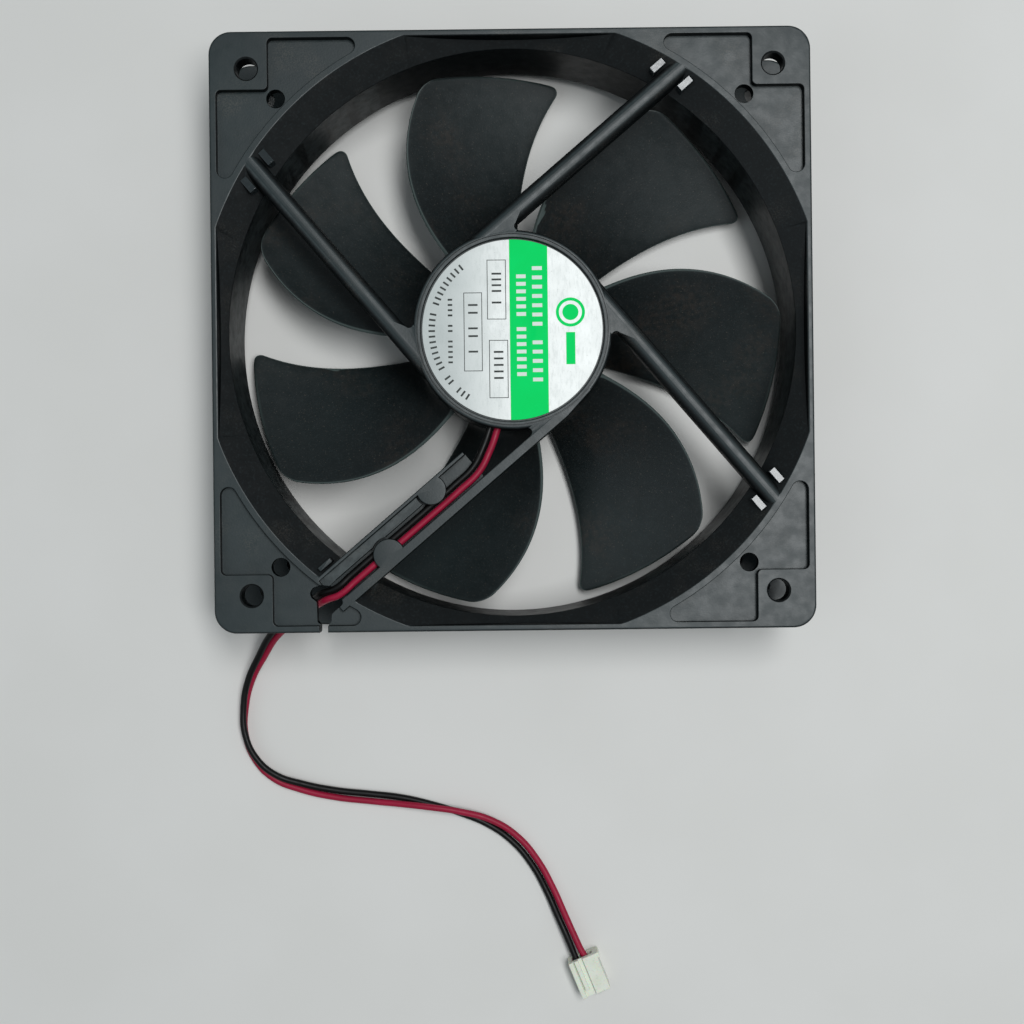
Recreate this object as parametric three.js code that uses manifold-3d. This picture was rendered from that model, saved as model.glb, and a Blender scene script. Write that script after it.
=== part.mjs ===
// Axial case fan, 120 mm square and 25 mm deep, with a brushless motor and a two-wire lead.
// Units are millimetres. The origin is the centre of the intake face, on which the fan lies; +Z points
// at the outlet face, where the four struts are, and X and Y run along the sides of the frame.
import * as THREE from "three";
import { mergeVertices } from "three/addons/utils/BufferGeometryUtils.js";
import Module from "manifold-3d";

const wasm = await Module();
wasm.setup();

// ---- driving dimensions ----------------------------------------------------------------------------

const SIDE = 120;
const DEPTH = 25;
const CORNER_R = 4.5;
const FLANGE = 4; // thickness of the flange at each face
const BOLT_PITCH = 105;
const BOLT_HOLE_R = 2.15;
const PIN_HOLE_AT = 46.9; // x and y of the smaller hole beside each corner pad
const PIN_HOLE_R = 1.9;

const BORE_R = 57.3;
const DUCT_R = 59.2; // outside of the duct between the flanges
const MOUTH_R = 62.6; // flared mouth at each face, cut short by four flats
const MOUTH_HALF = 58.7;
const FLARE_DEPTH = 4.3;

const POCKET_DEPTH = 1.6; // shallow pocket in the outlet face beside each corner pad
const POCKET_HALF = 58.6;
const POCKET_R = 63.9;
const PAD_AT = 48.3; // the corner pad runs from here to the corner

const STRUT_TURN = 40.4; // degrees from +X to the wire channel; the other struts follow every 90 degrees
const STRUT_OFFSET = 17.6; // the struts pass the axis at this distance
const STRUT_HALF = 2;
const STRUT_START = -60.2;
const STRUT_Z = DEPTH - FLANGE;
const PAD_Z = 24.6; // small ledges on the flare at both sides of each strut's outer end
const WEB_R = 0.8; // rounding of the flat web between a strut and the motor base

const BASE_R = 19.9; // motor base in the middle of the struts
const LABEL_R = 18;
const LABEL_SEAT_R = 18.3;
const LABEL_SEAT_Z = 24.3;
const BASE_PLATE_Z = 23.3;
const TUBE_R = 4.7; // bearing tube
const TUBE_BORE_R = 3.6;
const TUBE_Z = 7.8;

const HUB_R = 19.6;
const HUB_BORE_R = 18.5;
const HUB_Z = [2.5, 20];
const HUB_FACE = 1.5;
const BLADES = 7;
const TIP_R = 55.7;
const BLADE_TURN = 190.1; // degrees from +X to the first blade's leading edge at the hub

const SHAFT_R = 1.5;
const STATOR_R = 14.4;
const CORE_Z = [9.5, 14.5];
const BOARD_Z = [20.4, 21.4];

const WIRE_R = 0.72;
const WIRE_PITCH = 1.52; // distance between the two wires where they lie together

const SMOOTH = 64; // segments of a large circle
const ROUND = 40;
const SMALL = 20;

// ---- helpers ---------------------------------------------------------------------------------------

const radians = THREE.MathUtils.degToRad;

// A closed geometry as a solid that can be joined and cut.
function solid(geometry) {
  const bare = geometry.index ? geometry.toNonIndexed() : geometry.clone();
  bare.deleteAttribute("normal");
  bare.deleteAttribute("uv");
  const merged = mergeVertices(bare);
  return new wasm.Manifold(
    new wasm.Mesh({
      numProp: 3,
      vertProperties: merged.attributes.position.array,
      triVerts: new Uint32Array(merged.index.array),
    }),
  );
}

function geometryOf(body) {
  const mesh = body.getMesh();
  return new THREE.BufferGeometry()
    .setAttribute("position", new THREE.BufferAttribute(mesh.vertProperties, 3))
    .setIndex(new THREE.BufferAttribute(mesh.triVerts, 1));
}

const join = (bodies) => bodies.reduce((whole, body) => whole.add(body));
const cut = (body, tools) => tools.reduce((rest, tool) => rest.subtract(tool), body);

// A prism on an outline, which is a THREE.Shape or a list of [x, y].
function prism(outline, [z0, z1], curveSegments = 8) {
  const shape = Array.isArray(outline)
    ? new THREE.Shape(outline.map(([x, y]) => new THREE.Vector2(x, y)))
    : outline;
  const settings = { depth: z1 - z0, bevelEnabled: false, curveSegments };
  return solid(new THREE.ExtrudeGeometry(shape, settings).translate(0, 0, z0));
}

function block([x0, x1], [y0, y1], [z0, z1]) {
  const box = new THREE.BoxGeometry(x1 - x0, y1 - y0, z1 - z0);
  return solid(box.translate((x0 + x1) / 2, (y0 + y1) / 2, (z0 + z1) / 2));
}

// A solid of revolution about Z. The profile lists [radius, z] counterclockwise.
function turned(profile, segments = ROUND) {
  const points = profile.map(([r, z]) => new THREE.Vector2(r, z));
  return solid(new THREE.LatheGeometry(points, segments).rotateX(Math.PI / 2));
}

function disc(radius, [z0, z1], segments) {
  return turned([[0, z0], [radius, z0], [radius, z1], [0, z1]], segments);
}

function ring(outer, inner, [z0, z1], segments) {
  return turned([[inner, z0], [outer, z0], [outer, z1], [inner, z1], [inner, z0]], segments);
}

const spin = (body, degrees) => body.rotate([0, 0, degrees]);
const quarters = [0, 90, 180, 270];

function squareOutline(half, radius) {
  const inner = half - radius;
  const shape = new THREE.Shape();
  shape.absarc(inner, inner, radius, 0, radians(90));
  shape.absarc(-inner, inner, radius, radians(90), radians(180));
  shape.absarc(-inner, -inner, radius, radians(180), radians(270));
  shape.absarc(inner, -inner, radius, radians(270), radians(360));
  return shape;
}

// ---- frame -----------------------------------------------------------------------------------------

// The opening of a face: a cone that narrows to the bore, cut short by flats along the four sides.
function mouth(face) {
  const inner = face > 0 ? face - FLARE_DEPTH : face + FLARE_DEPTH;
  const beyond = face > 0 ? face + 1 : face - 1;
  const wide = [[MOUTH_R, face], [MOUTH_R, beyond]];
  const profile = [[0, inner], [BORE_R, inner], ...wide, [0, beyond]];
  const cone = turned(face > 0 ? profile : profile.reverse(), SMOOTH);
  const span = [-MOUTH_HALF, MOUTH_HALF];
  return cone.intersect(block(span, span, [-2, DEPTH + 2]));
}

// The shallow pocket of the corner at +X +Y. It runs round the inside of the corner pad.
function pocket() {
  const end = 31.5; // where the pocket's two arms stop, along the sides
  const round = 1;
  const armAngle = Math.acos(end / POCKET_R);
  const tipAngle = radians(90) - armAngle;
  const shape = new THREE.Shape();
  shape.absarc(0, 0, POCKET_R, armAngle, tipAngle, true);
  shape.absarc(POCKET_HALF - 2 * round, end + round, 2 * round, radians(-60), 0);
  shape.absarc(POCKET_HALF - round, PAD_AT - round, round, 0, radians(90));
  shape.absarc(PAD_AT + round, PAD_AT + round, round, radians(270), radians(180), true);
  shape.absarc(PAD_AT - round, POCKET_HALF - round, round, 0, radians(90));
  shape.absarc(end + round, POCKET_HALF - 2 * round, 2 * round, radians(90), radians(150));
  return prism(shape, [DEPTH - POCKET_DEPTH, DEPTH + 1], 6);
}

function cornerHoles() {
  const at = BOLT_PITCH / 2;
  const through = [-1, DEPTH + 1];
  const pair = disc(BOLT_HOLE_R, through, SMALL).translate([at, at, 0])
    .add(disc(PIN_HOLE_R, through, SMALL).translate([PIN_HOLE_AT, PIN_HOLE_AT, 0]));
  return join(quarters.map((turn) => spin(pair, turn)));
}

// One plain strut, lying along X and passing the axis on its -Y side. Its top is narrower than its foot.
function strut() {
  const [foot, top, shoulder] = [STRUT_HALF, 1.05, DEPTH - 1.9];
  const section = [[-foot, STRUT_Z], [foot, STRUT_Z], [foot, shoulder], [top, DEPTH], [-top, DEPTH],
    [-foot, shoulder]];
  const bar = prism(section, [0, -STRUT_START]); // x across, y up, z along
  return bar.rotate([90, 0, 90]).translate([STRUT_START, -STRUT_OFFSET, 0]);
}

// The flat web that fills the corner between a strut and the motor base, on the side towards the axis.
// The strut's side and its middle lie at these distances from the axis.
function web(side, middle) {
  const across = side - WEB_R;
  const along = Math.sqrt((BASE_R + WEB_R) ** 2 - across ** 2);
  const shape = new THREE.Shape();
  shape.moveTo(-along - 4, -middle);
  shape.lineTo(-6, -middle);
  shape.absarc(-along, -across, WEB_R, Math.atan2(across, along), radians(-90), true);
  return prism(shape, [STRUT_Z, DEPTH], 4);
}

// The small level ledges on the flare beside a strut's outer end: each ledge's sides and its outer end.
const LEDGE_LENGTH = 3.2;
const PLAIN_LEDGES = [[-21.5, -20, -58.1], [-15.2, -13.7, -59.9]];
const WIRED_LEDGES = [[-11.3, -10.3, -60.6]];

function strutLedges(places) {
  const ledges = places.map(([y0, y1, x]) => block([x, x + LEDGE_LENGTH], [y0, y1], [STRUT_Z, PAD_Z]));
  return join(ledges);
}

// The wire channel: the fourth strut. Its y values are across it, and it lies on the -Y side.
const CHANNEL = {
  start: -62.4,
  end: -23.5,
  outerRail: [-20.3, -18.25],
  railTaper: [[-3, -20.3], [4, -19.4]],
  webMiddle: 19.3,
  trough: [-18.25, -14.5],
  ledge: [-14.5, -12.5],
  ledgeEnd: -31,
  innerRail: [-12.5, -11.8],
  floor: [STRUT_Z, STRUT_Z + 0.9],
  ledgeTop: 23.9,
  tabs: [{ x: -33.2, y: -13.5, radius: 3 }, { x: -48, y: -17.7, radius: 3.2 }],
  tabZ: [24, DEPTH],
};

function channel() {
  const { start, end, outerRail, railTaper, webMiddle, ledge, ledgeEnd, innerRail } = CHANNEL;
  const { floor, ledgeTop, tabs, tabZ } = CHANNEL;
  const full = [STRUT_Z, DEPTH];
  const railEnd = railTaper[1][0];
  const rail = [[start, outerRail[0]], ...railTaper, [railEnd, outerRail[1]], [start, outerRail[1]]];
  const bed = [block([start, end], [outerRail[0], innerRail[1]], floor),
    block([start, ledgeEnd], ledge, [STRUT_Z, ledgeTop])];
  const above = [floor[1], DEPTH + 1];
  const reliefs = tabs.map((tab) => disc(tab.radius + 0.45, above, SMALL).translate([tab.x, tab.y, 0]));
  const cutBed = cut(join(bed), reliefs);
  const walls = [prism(rail, full), web(-outerRail[1], webMiddle), block([start, end], innerRail, full)];
  const lips = tabs.map((tab) => disc(tab.radius, tabZ, SMALL).translate([tab.x, tab.y, 0]));
  const inside = block([start, end], [outerRail[0], innerRail[1]], full);
  return join([cutBed, ...walls, ...lips.map((lip) => lip.intersect(inside))]);
}

// Where the channel runs on through the flange, between the flare and the wire slot.
function channelMouth() {
  const { trough, ledge, floor, ledgeTop } = CHANNEL;
  const span = [-62, -52];
  return block(span, trough, [floor[1], DEPTH + 1]).add(block(span, ledge, [ledgeTop, DEPTH + 1]));
}

// The opening through the outlet flange where the wires leave the channel, and the slot to the edge.
function wireSlot() {
  const hole = [
    [-34.1, -54], [-37.2, -50.7], [-39, -50.5], [-40.6, -51.1], [-41.2, -52.1],
    [-40.9, -53.1], [-39.8, -53.9], [-39.7, -57.9], [-36.9, -57.9], [-36.8, -56.4],
  ];
  const notch = block([-39.1, -37.4], [-61, -57.5], [STRUT_Z - 1, DEPTH + 1]);
  return prism(hole, [STRUT_Z - 1, DEPTH + 1]).add(notch);
}

// The way out of the motor base for the two wires, under its top plate.
function wireDoor() {
  const door = block([-3, 3], [-2.1, 2.1], [STRUT_Z - 1, BASE_PLATE_Z]);
  return spin(door, 78).translate([-3.9, -19.1, 0]);
}

function frameBody() {
  const plate = squareOutline(SIDE / 2, CORNER_R);
  const shell = join([
    prism(plate, [0, FLANGE]),
    prism(plate, [DEPTH - FLANGE, DEPTH]),
    disc(DUCT_R, [0, DEPTH], SMOOTH),
  ]);
  const bore = disc(BORE_R, [-1, DEPTH + 1], SMOOTH);
  const pockets = quarters.map((turn) => spin(pocket(), turn));
  const open = cut(shell, [bore, mouth(0), mouth(DEPTH), ...pockets, cornerHoles()]);

  const sideWeb = web(STRUT_OFFSET - STRUT_HALF, STRUT_OFFSET);
  const plain = join([strut(), sideWeb, strutLedges(PLAIN_LEDGES)]);
  const wired = channel().add(strutLedges(WIRED_LEDGES));
  const spokes = join([spin(wired, STRUT_TURN), ...[1, 2, 3].map((k) => spin(plain, STRUT_TURN + 90 * k))]);
  const inFrame = spokes.intersect(prism(plate, [0, DEPTH]));

  const base = disc(BASE_R, [STRUT_Z, DEPTH], SMOOTH);
  const seat = disc(LABEL_SEAT_R, [LABEL_SEAT_Z, DEPTH + 1], SMOOTH);
  const cavity = disc(LABEL_SEAT_R, [STRUT_Z - 1, BASE_PLATE_Z], SMOOTH);
  const tube = disc(TUBE_R, [TUBE_Z, LABEL_SEAT_Z]);
  const tubeBore = disc(TUBE_BORE_R, [TUBE_Z - 1, DEPTH]);
  const openings = [seat, cavity, wireSlot(), wireDoor(), spin(channelMouth(), STRUT_TURN)];
  return cut(cut(join([open, inFrame, base]), openings).add(tube), [tubeBore]);
}

// ---- impeller --------------------------------------------------------------------------------------

const BLADE_ROOT_R = 19;

// The point of the blade at a share of its span and chord, on its outlet side (1) or intake side (-1).
function bladePoint(span, chord, side) {
  const r = THREE.MathUtils.lerp(BLADE_ROOT_R, TIP_R, span);
  const leading = radians(BLADE_TURN - 8.9 * span ** 2.05);
  const trailing = radians(BLADE_TURN + 41.9 - 20.5 * span ** 1.85);
  const low = 3 - 0.3 * span;
  const rise = 15 - 2.6 * span;
  const camber = 0.3;
  const arc = r * (trailing - leading);
  const slope = rise * (1 - camber + 2 * camber * chord);
  const length = Math.hypot(arc, slope);
  const half = THREE.MathUtils.lerp(0.95, 0.6, span) * (0.4 + 0.6 * Math.sin(Math.PI * chord ** 0.8));
  const angle = leading + (trailing - leading) * chord - (side * half * slope) / (length * r);
  const z = low + rise * (chord - camber * chord * (1 - chord)) + (side * half * arc) / length;
  return [r * Math.cos(angle), r * Math.sin(angle), z];
}

function blade() {
  const [spans, chords] = [6, 8];
  const positions = [];
  for (const side of [1, -1])
    for (let i = 0; i <= spans; i++)
      for (let j = 0; j <= chords; j++) positions.push(...bladePoint(i / spans, j / chords, side));
  const index = [];
  const quad = (a, b, c, d) => index.push(a, b, c, a, c, d);
  const at = (i, j, side) => (side > 0 ? 0 : (spans + 1) * (chords + 1)) + i * (chords + 1) + j;
  for (let i = 0; i < spans; i++)
    for (let j = 0; j < chords; j++) {
      quad(at(i, j, 1), at(i + 1, j, 1), at(i + 1, j + 1, 1), at(i, j + 1, 1));
      quad(at(i, j, -1), at(i, j + 1, -1), at(i + 1, j + 1, -1), at(i + 1, j, -1));
    }
  for (let i = 0; i < spans; i++) {
    quad(at(i, 0, 1), at(i, 0, -1), at(i + 1, 0, -1), at(i + 1, 0, 1));
    quad(at(i, chords, 1), at(i + 1, chords, 1), at(i + 1, chords, -1), at(i, chords, -1));
  }
  for (let j = 0; j < chords; j++) {
    quad(at(0, j, 1), at(0, j + 1, 1), at(0, j + 1, -1), at(0, j, -1));
    quad(at(spans, j, 1), at(spans, j, -1), at(spans, j + 1, -1), at(spans, j + 1, 1));
  }
  const geometry = new THREE.BufferGeometry()
    .setAttribute("position", new THREE.BufferAttribute(new Float32Array(positions), 3))
    .setIndex(index);
  return solid(geometry);
}

function impellerBody() {
  const [z0, z1] = HUB_Z;
  const hub = turned([
    [0, z0 + 0.5], [1.8, z0 + 0.5], [2.1, z0], [HUB_R - 1.5, z0], [HUB_R - 0.45, z0 + 0.45],
    [HUB_R, z0 + 1.5], [HUB_R, z1], [HUB_BORE_R, z1], [HUB_BORE_R, z0 + HUB_FACE], [0, z0 + HUB_FACE],
  ], SMOOTH);
  const one = blade();
  return join([hub, ...Array.from({ length: BLADES }, (_, k) => spin(one, (k * 360) / BLADES))]);
}

// ---- rotor parts inside the impeller ---------------------------------------------------------------

// A steel cup: the ring that the magnet sits in, with an end wall round the boss.
function yokeBody() {
  const [outer, inner, bottom, top] = [18.3, 17.3, 4.2, 19.4];
  return turned([[3.6, bottom], [outer, bottom], [outer, top], [inner, top], [inner, bottom + 0.8],
    [3.6, bottom + 0.8], [3.6, bottom]]);
}

// The brass boss that holds the shaft in the impeller.
function bossBody() {
  const [bottom, top] = [4.2, 7.2];
  const bore = SHAFT_R + 0.1;
  return turned([
    [bore, bottom], [3.3, bottom], [3.3, 5.2], [2.6, 5.4], [2.6, top], [bore, top], [bore, bottom],
  ], SMALL);
}

const CLIP_Z = [22, 22.5];

function shaftBody() {
  const [z0, z1] = CLIP_Z;
  return turned([[0, 4.3], [SHAFT_R, 4.3], [SHAFT_R, z0 - 0.1], [1.1, z0 - 0.1], [1.1, z1 + 0.1],
    [SHAFT_R, z1 + 0.1], [SHAFT_R, 22.9], [SHAFT_R - 0.3, 23.2], [0, 23.2]], SMALL);
}

// The split ring in the shaft's groove that keeps the rotor in its bearing.
function clipBody() {
  return cut(ring(2.5, 1.2, CLIP_Z, SMALL), [block([0, 4], [-0.6, 0.6], [CLIP_Z[0] - 1, CLIP_Z[1] + 1])]);
}

// ---- stator ----------------------------------------------------------------------------------------

const ARM_HALF = 2;

// The steel stack: a ring round the bearing tube and four arms that end in curved pole shoes.
function coreBody() {
  const shoeHalf = 36; // degrees
  const shoe = new THREE.Shape();
  shoe.absarc(0, 0, STATOR_R, radians(-shoeHalf), radians(shoeHalf));
  shoe.absarc(0, 0, STATOR_R - 1.6, radians(shoeHalf), radians(-shoeHalf), true);
  const pole = prism(shoe, CORE_Z, 10).add(block([5.5, STATOR_R - 1.2], [-ARM_HALF, ARM_HALF], CORE_Z));
  return join([ring(6.6, TUBE_R + 0.2, CORE_Z, SMALL), ...quarters.map((turn) => spin(pole, turn))]);
}

// One half of the plastic winding former: a cross with a wall at the end of each arm.
function formerBody(z0, thickness, wall) {
  const sheet = [z0, z0 + thickness].sort((a, b) => a - b);
  const high = [z0, z0 + wall].sort((a, b) => a - b);
  const arm = block([5.5, 12.4], [-2.7, 2.7], sheet).add(block([11.5, 12.4], [-4.6, 4.6], high));
  return join([ring(6.6, TUBE_R + 0.2, high, SMALL), ...quarters.map((turn) => spin(arm, turn))]);
}

// One winding round an arm of the core and the former, as a rounded loop.
function coilBody() {
  const loop = (half, height, corner) => {
    const shape = new THREE.Shape();
    const [w, h] = [half - corner, height - corner];
    shape.absarc(w, h, corner, 0, radians(90));
    shape.absarc(-w, h, corner, radians(90), radians(180));
    shape.absarc(-w, -h, corner, radians(180), radians(270));
    shape.absarc(w, -h, corner, radians(270), radians(360));
    return shape;
  };
  const [inner, outer, middle] = [7.1, 11.2, (CORE_Z[0] + CORE_Z[1]) / 2];
  const winding = prism(loop(5, 5, 2), [inner, outer], 4).subtract(
    prism(loop(3, 3.9, 0.4), [inner - 1, outer + 1], 2));
  return winding.rotate([90, 0, 90]).translate([0, 0, middle]);
}

// The round circuit board, with a hole for the bearing tube.
function boardBody() {
  return ring(17.4, TUBE_R + 0.3, BOARD_Z);
}

// ---- bearing ---------------------------------------------------------------------------------------

function sleeveBody() {
  const [z0, z1, outer] = [8.6, 21.2, 3.4];
  const bore = SHAFT_R + 0.1;
  return turned([
    [bore, z0], [outer - 0.3, z0], [outer, z0 + 0.3], [outer, z1 - 0.3],
    [outer - 0.3, z1], [bore, z1], [bore, z0],
  ], SMALL);
}

function capBody() {
  return turned([[0, 23.4], [3, 23.4], [3.35, 23.7], [3.35, 24.2], [0, 24.2]], SMALL);
}

// ---- lead ------------------------------------------------------------------------------------------

// The middle of the wire pair from the circuit board to the connector: x, y, z and the turn of the pair
// about its own line, in degrees. At 0 the black wire is to the right of the red one, and at 90 above it.
const PAIR_ROUTE = [
  [-2.4, -13.2, 22.35, 0],
  [-3.2, -16.2, 22.35, 0],
  [-4.1, -19.8, 22.4, 0],
  [-5.5, -23.7, 22.6, 0],
  [-7.6, -27.7, 22.85, 0],
  [-11.5, -31.4, 22.9, 0],
  [-18.2, -37.2, 22.9, 0],
  [-25.9, -43.7, 22.9, 0],
  [-32.6, -49.4, 22.9, 0],
  [-35.4, -51.8, 22.85, 0],
  [-38.3, -52.9, 21.5, 0],
  [-40.6, -54.1, 19.0, 4],
  [-43.6, -56.1, 15.7, 12],
  [-47.2, -58.8, 12.0, 24],
  [-51.1, -61.9, 8.3, 38],
  [-54.3, -66.5, 5.0, 52],
  [-57.3, -72.0, 2.8, 68],
  [-58.7, -77.7, 1.75, 82],
  [-58.6, -83.9, 1.65, 100],
  [-56.3, -89.3, 1.6, 118],
  [-52.4, -93.0, 1.45, 138],
  [-46.8, -95.2, 1.2, 158],
  [-39.4, -96.9, 0.95, 175],
  [-31.8, -97.8, 1.0, 190],
  [-25.3, -98.5, 1.3, 215],
  [-18.8, -99.6, 1.6, 255],
  [-12.4, -101.1, 1.6, 292],
  [-5.9, -103.5, 1.2, 330],
  [-0.5, -107.3, 0.9, 360],
  [3.6, -112.3, 0.85, 360],
  [6.8, -118.2, 1.0, 360],
  [9.1, -123.4, 1.6, 360],
  [11.1, -127.9, 2.2, 360],
  [13.0, -132.2, 2.45, 360],
  [14.3, -134.5, 2.45, 360],
];

const CONNECTOR = {
  at: [13.4, -132.05], // middle of its wire end
  turn: -68, // degrees from +X to the mating direction
  length: 8.2,
  half: 3.2,
  height: 4.8,
  pitch: 2.5,
  ear: { length: 1.1, width: 0.5 },
};

// The points of one wire: the pair's line, moved sideways by half the pitch towards the given side. Near
// the connector the wires spread from their own pitch to that of its cavities.
function wirePoints(side) {
  const middle = new THREE.CatmullRomCurve3(PAIR_ROUTE.map(([x, y, z]) => new THREE.Vector3(x, y, z)));
  const last = PAIR_ROUTE.length - 1;
  const spread = [CONNECTOR.pitch, 1.85, WIRE_PITCH]; // from the end backwards
  return PAIR_ROUTE.map(([x, y, z, turn], i) => {
    const heading = middle.getTangent(i / last);
    const right = new THREE.Vector3(heading.y, -heading.x, 0).normalize();
    const up = right.clone().cross(heading);
    right.multiplyScalar(Math.cos(radians(turn)));
    const offset = right.addScaledVector(up, Math.sin(radians(turn)));
    const gap = spread[Math.min(last - i, spread.length - 1)];
    return new THREE.Vector3(x, y, z).addScaledVector(offset, (side * gap) / 2);
  });
}

function wireGeometry(side) {
  const steps = 60;
  const sides = 8;
  const corners = Array.from({ length: sides }, (_, k) => {
    const angle = ((k + 0.5) * 2 * Math.PI) / sides;
    return new THREE.Vector2(WIRE_R * Math.cos(angle), WIRE_R * Math.sin(angle));
  });
  const extrudePath = new THREE.CatmullRomCurve3(wirePoints(side));
  return new THREE.ExtrudeGeometry(new THREE.Shape(corners), { steps, extrudePath, bevelEnabled: false });
}

// The connector housing, with its wire end at x = 0 and its mating end towards +X.
function housingBody() {
  const { length, half, height, pitch, ear } = CONNECTOR;
  const body = block([0, length], [-half, half], [0, height])
    .add(block([0, ear.length], [0, half + ear.width], [0.6, height - 0.1]));
  const mouthOfCavities = block([-1, 1.6], [-2.3, 2.3], [1.4, 3.5]);
  const cavities = [-1, 1].map((side) =>
    block([-1, length + 1], [(side * pitch) / 2 - 1.05, (side * pitch) / 2 + 1.05], [1.4, 3.5]));
  const lowered = [[-1, -2.2, -1.9], [-1, -1, 0], [length - 1.5, -2.2, 0]].map(([x0, ...span]) =>
    block([x0, length + 1], span, [height - 0.8, height + 1]));
  const windows = [-1, 1].map((side) =>
    block([length - 3.6, length - 1.6], [(side * pitch) / 2 - 0.6, (side * pitch) / 2 + 0.6], [-1, 2]));
  return cut(body, [mouthOfCavities, ...cavities, ...lowered, ...windows]);
}

// A crimp terminal: the barrel on the wire's end and the box that takes the mating pin.
function terminalBody() {
  const box = cut(block([4.6, 7.7], [-0.75, 0.75], [1.7, 3.2]), [block([5.6, 8], [-0.5, 0.5], [2, 2.9])]);
  return box.add(block([3, 4.8], [-0.6, 0.6], [1.9, 2.9]));
}

// ---- assembly --------------------------------------------------------------------------------------

function finish(color, roughness, metalness = 0) {
  return new THREE.MeshStandardMaterial({ color, roughness, metalness });
}

const finishes = {
  frame: finish(0x24282b, 0.55),
  blades: finish(0x1d2123, 0.5),
  paper: finish(0xe4e7e4, 0.4),
  steel: finish(0xb8bbbd, 0.3, 1),
  core: finish(0x77797b, 0.5, 0.9),
  magnet: finish(0x3a3634, 0.8),
  copper: finish(0xb5683a, 0.35, 1),
  former: finish(0xd9d4c6, 0.6),
  board: finish(0x2c6b3a, 0.5),
  chip: finish(0x17181a, 0.5),
  bronze: finish(0xa8794a, 0.5, 0.8),
  brass: finish(0xc9a450, 0.3, 1),
  rubber: finish(0x1b1b1b, 0.8),
  felt: finish(0x8a8478, 0.95),
  red: finish(0xb01c3c, 0.4),
  black: finish(0x1c1c1c, 0.4),
  nylon: finish(0xdfe6da, 0.5),
  tin: finish(0xc9cbcc, 0.35, 1),
};

const fan = new THREE.Group();

function add(name, body, material, parent = fan) {
  const geometry = body.isBufferGeometry ? body : geometryOf(body);
  const mesh = new THREE.Mesh(geometry, finishes[material]);
  mesh.name = name;
  parent.add(mesh);
  return mesh;
}

add("frame", frameBody(), "frame");
add("label", disc(LABEL_R, [LABEL_SEAT_Z + 0.1, LABEL_SEAT_Z + 0.3], SMOOTH), "paper");
add("bearing_cap", capBody(), "rubber");
add("sleeve_bearing", sleeveBody(), "bronze");
add("oil_felt", ring(3.3, SHAFT_R + 0.15, [7.9, 8.4], SMALL), "felt");
add("thrust_washer", ring(3.2, SHAFT_R + 0.15, [21.4, 21.8], SMALL), "felt");

add("stator_core", coreBody(), "core");
add("upper_winding_former", formerBody(CORE_Z[1] + 0.15, 0.8, 3), "former");
add("lower_winding_former", formerBody(CORE_Z[0] - 0.15, -0.8, -3), "former");
quarters.forEach((turn, k) => {
  add(`coil_${k + 1}`, coilBody(), "copper").rotation.z = radians(turn);
});

add("circuit_board", boardBody(), "board");
const underBoard = [BOARD_Z[0] - 1.7, BOARD_Z[0] - 0.1];
const overBoard = [BOARD_Z[1] + 0.1, BOARD_Z[1] + 1.3];
add("hall_sensor", block([13.8, 16.2], [-2, 2], underBoard), "chip").rotation.z = radians(45);
add("driver_chip", block([7.5, 11.5], [-2.5, 2.5], underBoard), "chip").rotation.z = radians(135);
add("capacitor", block([9, 12.5], [-1.4, 1.4], overBoard), "former").rotation.z = radians(60);
add("protection_diode", block([8.5, 12.8], [-1.3, 1.3], overBoard), "chip").rotation.z = radians(150);

add("impeller", impellerBody(), "blades");
add("rotor_yoke", yokeBody(), "steel");
add("ring_magnet", ring(17.1, 14.9, [6, 17.8]), "magnet");
add("shaft_boss", bossBody(), "brass");
add("shaft", shaftBody(), "steel");
add("retaining_clip", clipBody(), "steel");

add("lead_red", wireGeometry(-1), "red");
add("lead_black", wireGeometry(1), "black");

const connector = new THREE.Group();
connector.position.set(CONNECTOR.at[0], CONNECTOR.at[1], 0);
connector.rotation.z = radians(CONNECTOR.turn);
fan.add(connector);
add("connector_housing", housingBody(), "nylon", connector);
add("terminal_red", terminalBody(), "tin", connector).position.y = CONNECTOR.pitch / 2;
add("terminal_black", terminalBody(), "tin", connector).position.y = -CONNECTOR.pitch / 2;

export default fan;
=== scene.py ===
"""Looks and fine meshes of the case fan, in the frame of its CAD model.

Sizes in this script are in millimetres, until metres() turns a finished mesh or path to metres. The fan
lies on its intake face, which is z = 0, and its struts, label and wire channel are at z = 25.
"""

import math

import bmesh
import bpy
from mathutils import Matrix, Vector


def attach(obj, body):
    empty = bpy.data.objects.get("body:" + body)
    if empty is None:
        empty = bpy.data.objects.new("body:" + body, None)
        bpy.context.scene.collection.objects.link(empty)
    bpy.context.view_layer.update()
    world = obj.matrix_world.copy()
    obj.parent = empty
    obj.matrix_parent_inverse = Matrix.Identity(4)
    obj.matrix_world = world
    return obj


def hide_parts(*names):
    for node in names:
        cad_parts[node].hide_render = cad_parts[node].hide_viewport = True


# ---- driving dimensions ----

MM = 0.001
HALF = 60.0  # half the side of the square flanges
DEPTH = 25.0
FLANGE = 4.0  # thickness of a flange
CORNER_R = 4.5
RIM = 0.4  # rounding of the moulding's outer edges
BOLT_AT = 52.5  # x and y of the bolt holes
BOLT_R = 2.15
PIN_AT = 46.9  # x and y of the smaller holes
PIN_R = 1.9

BORE_R = 57.3
DUCT_R = 59.2  # outside of the round wall between the flanges
MOUTH_R = 62.6  # the flared mouth at the face, before the flats cut it short
MOUTH_HALF = 58.7  # distance of those flats from the axis
FLARE = 4.3  # depth of the mouth

STRUT_TURN = 40.4  # degrees from +X to the wire channel; the other struts follow every 90 degrees
STRUT_OFFSET = 17.6  # the struts pass the axis at this distance
STRUT_START = -60.2
STRUT_HALF = 2.0
STRUT_Z = DEPTH - FLANGE

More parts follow.
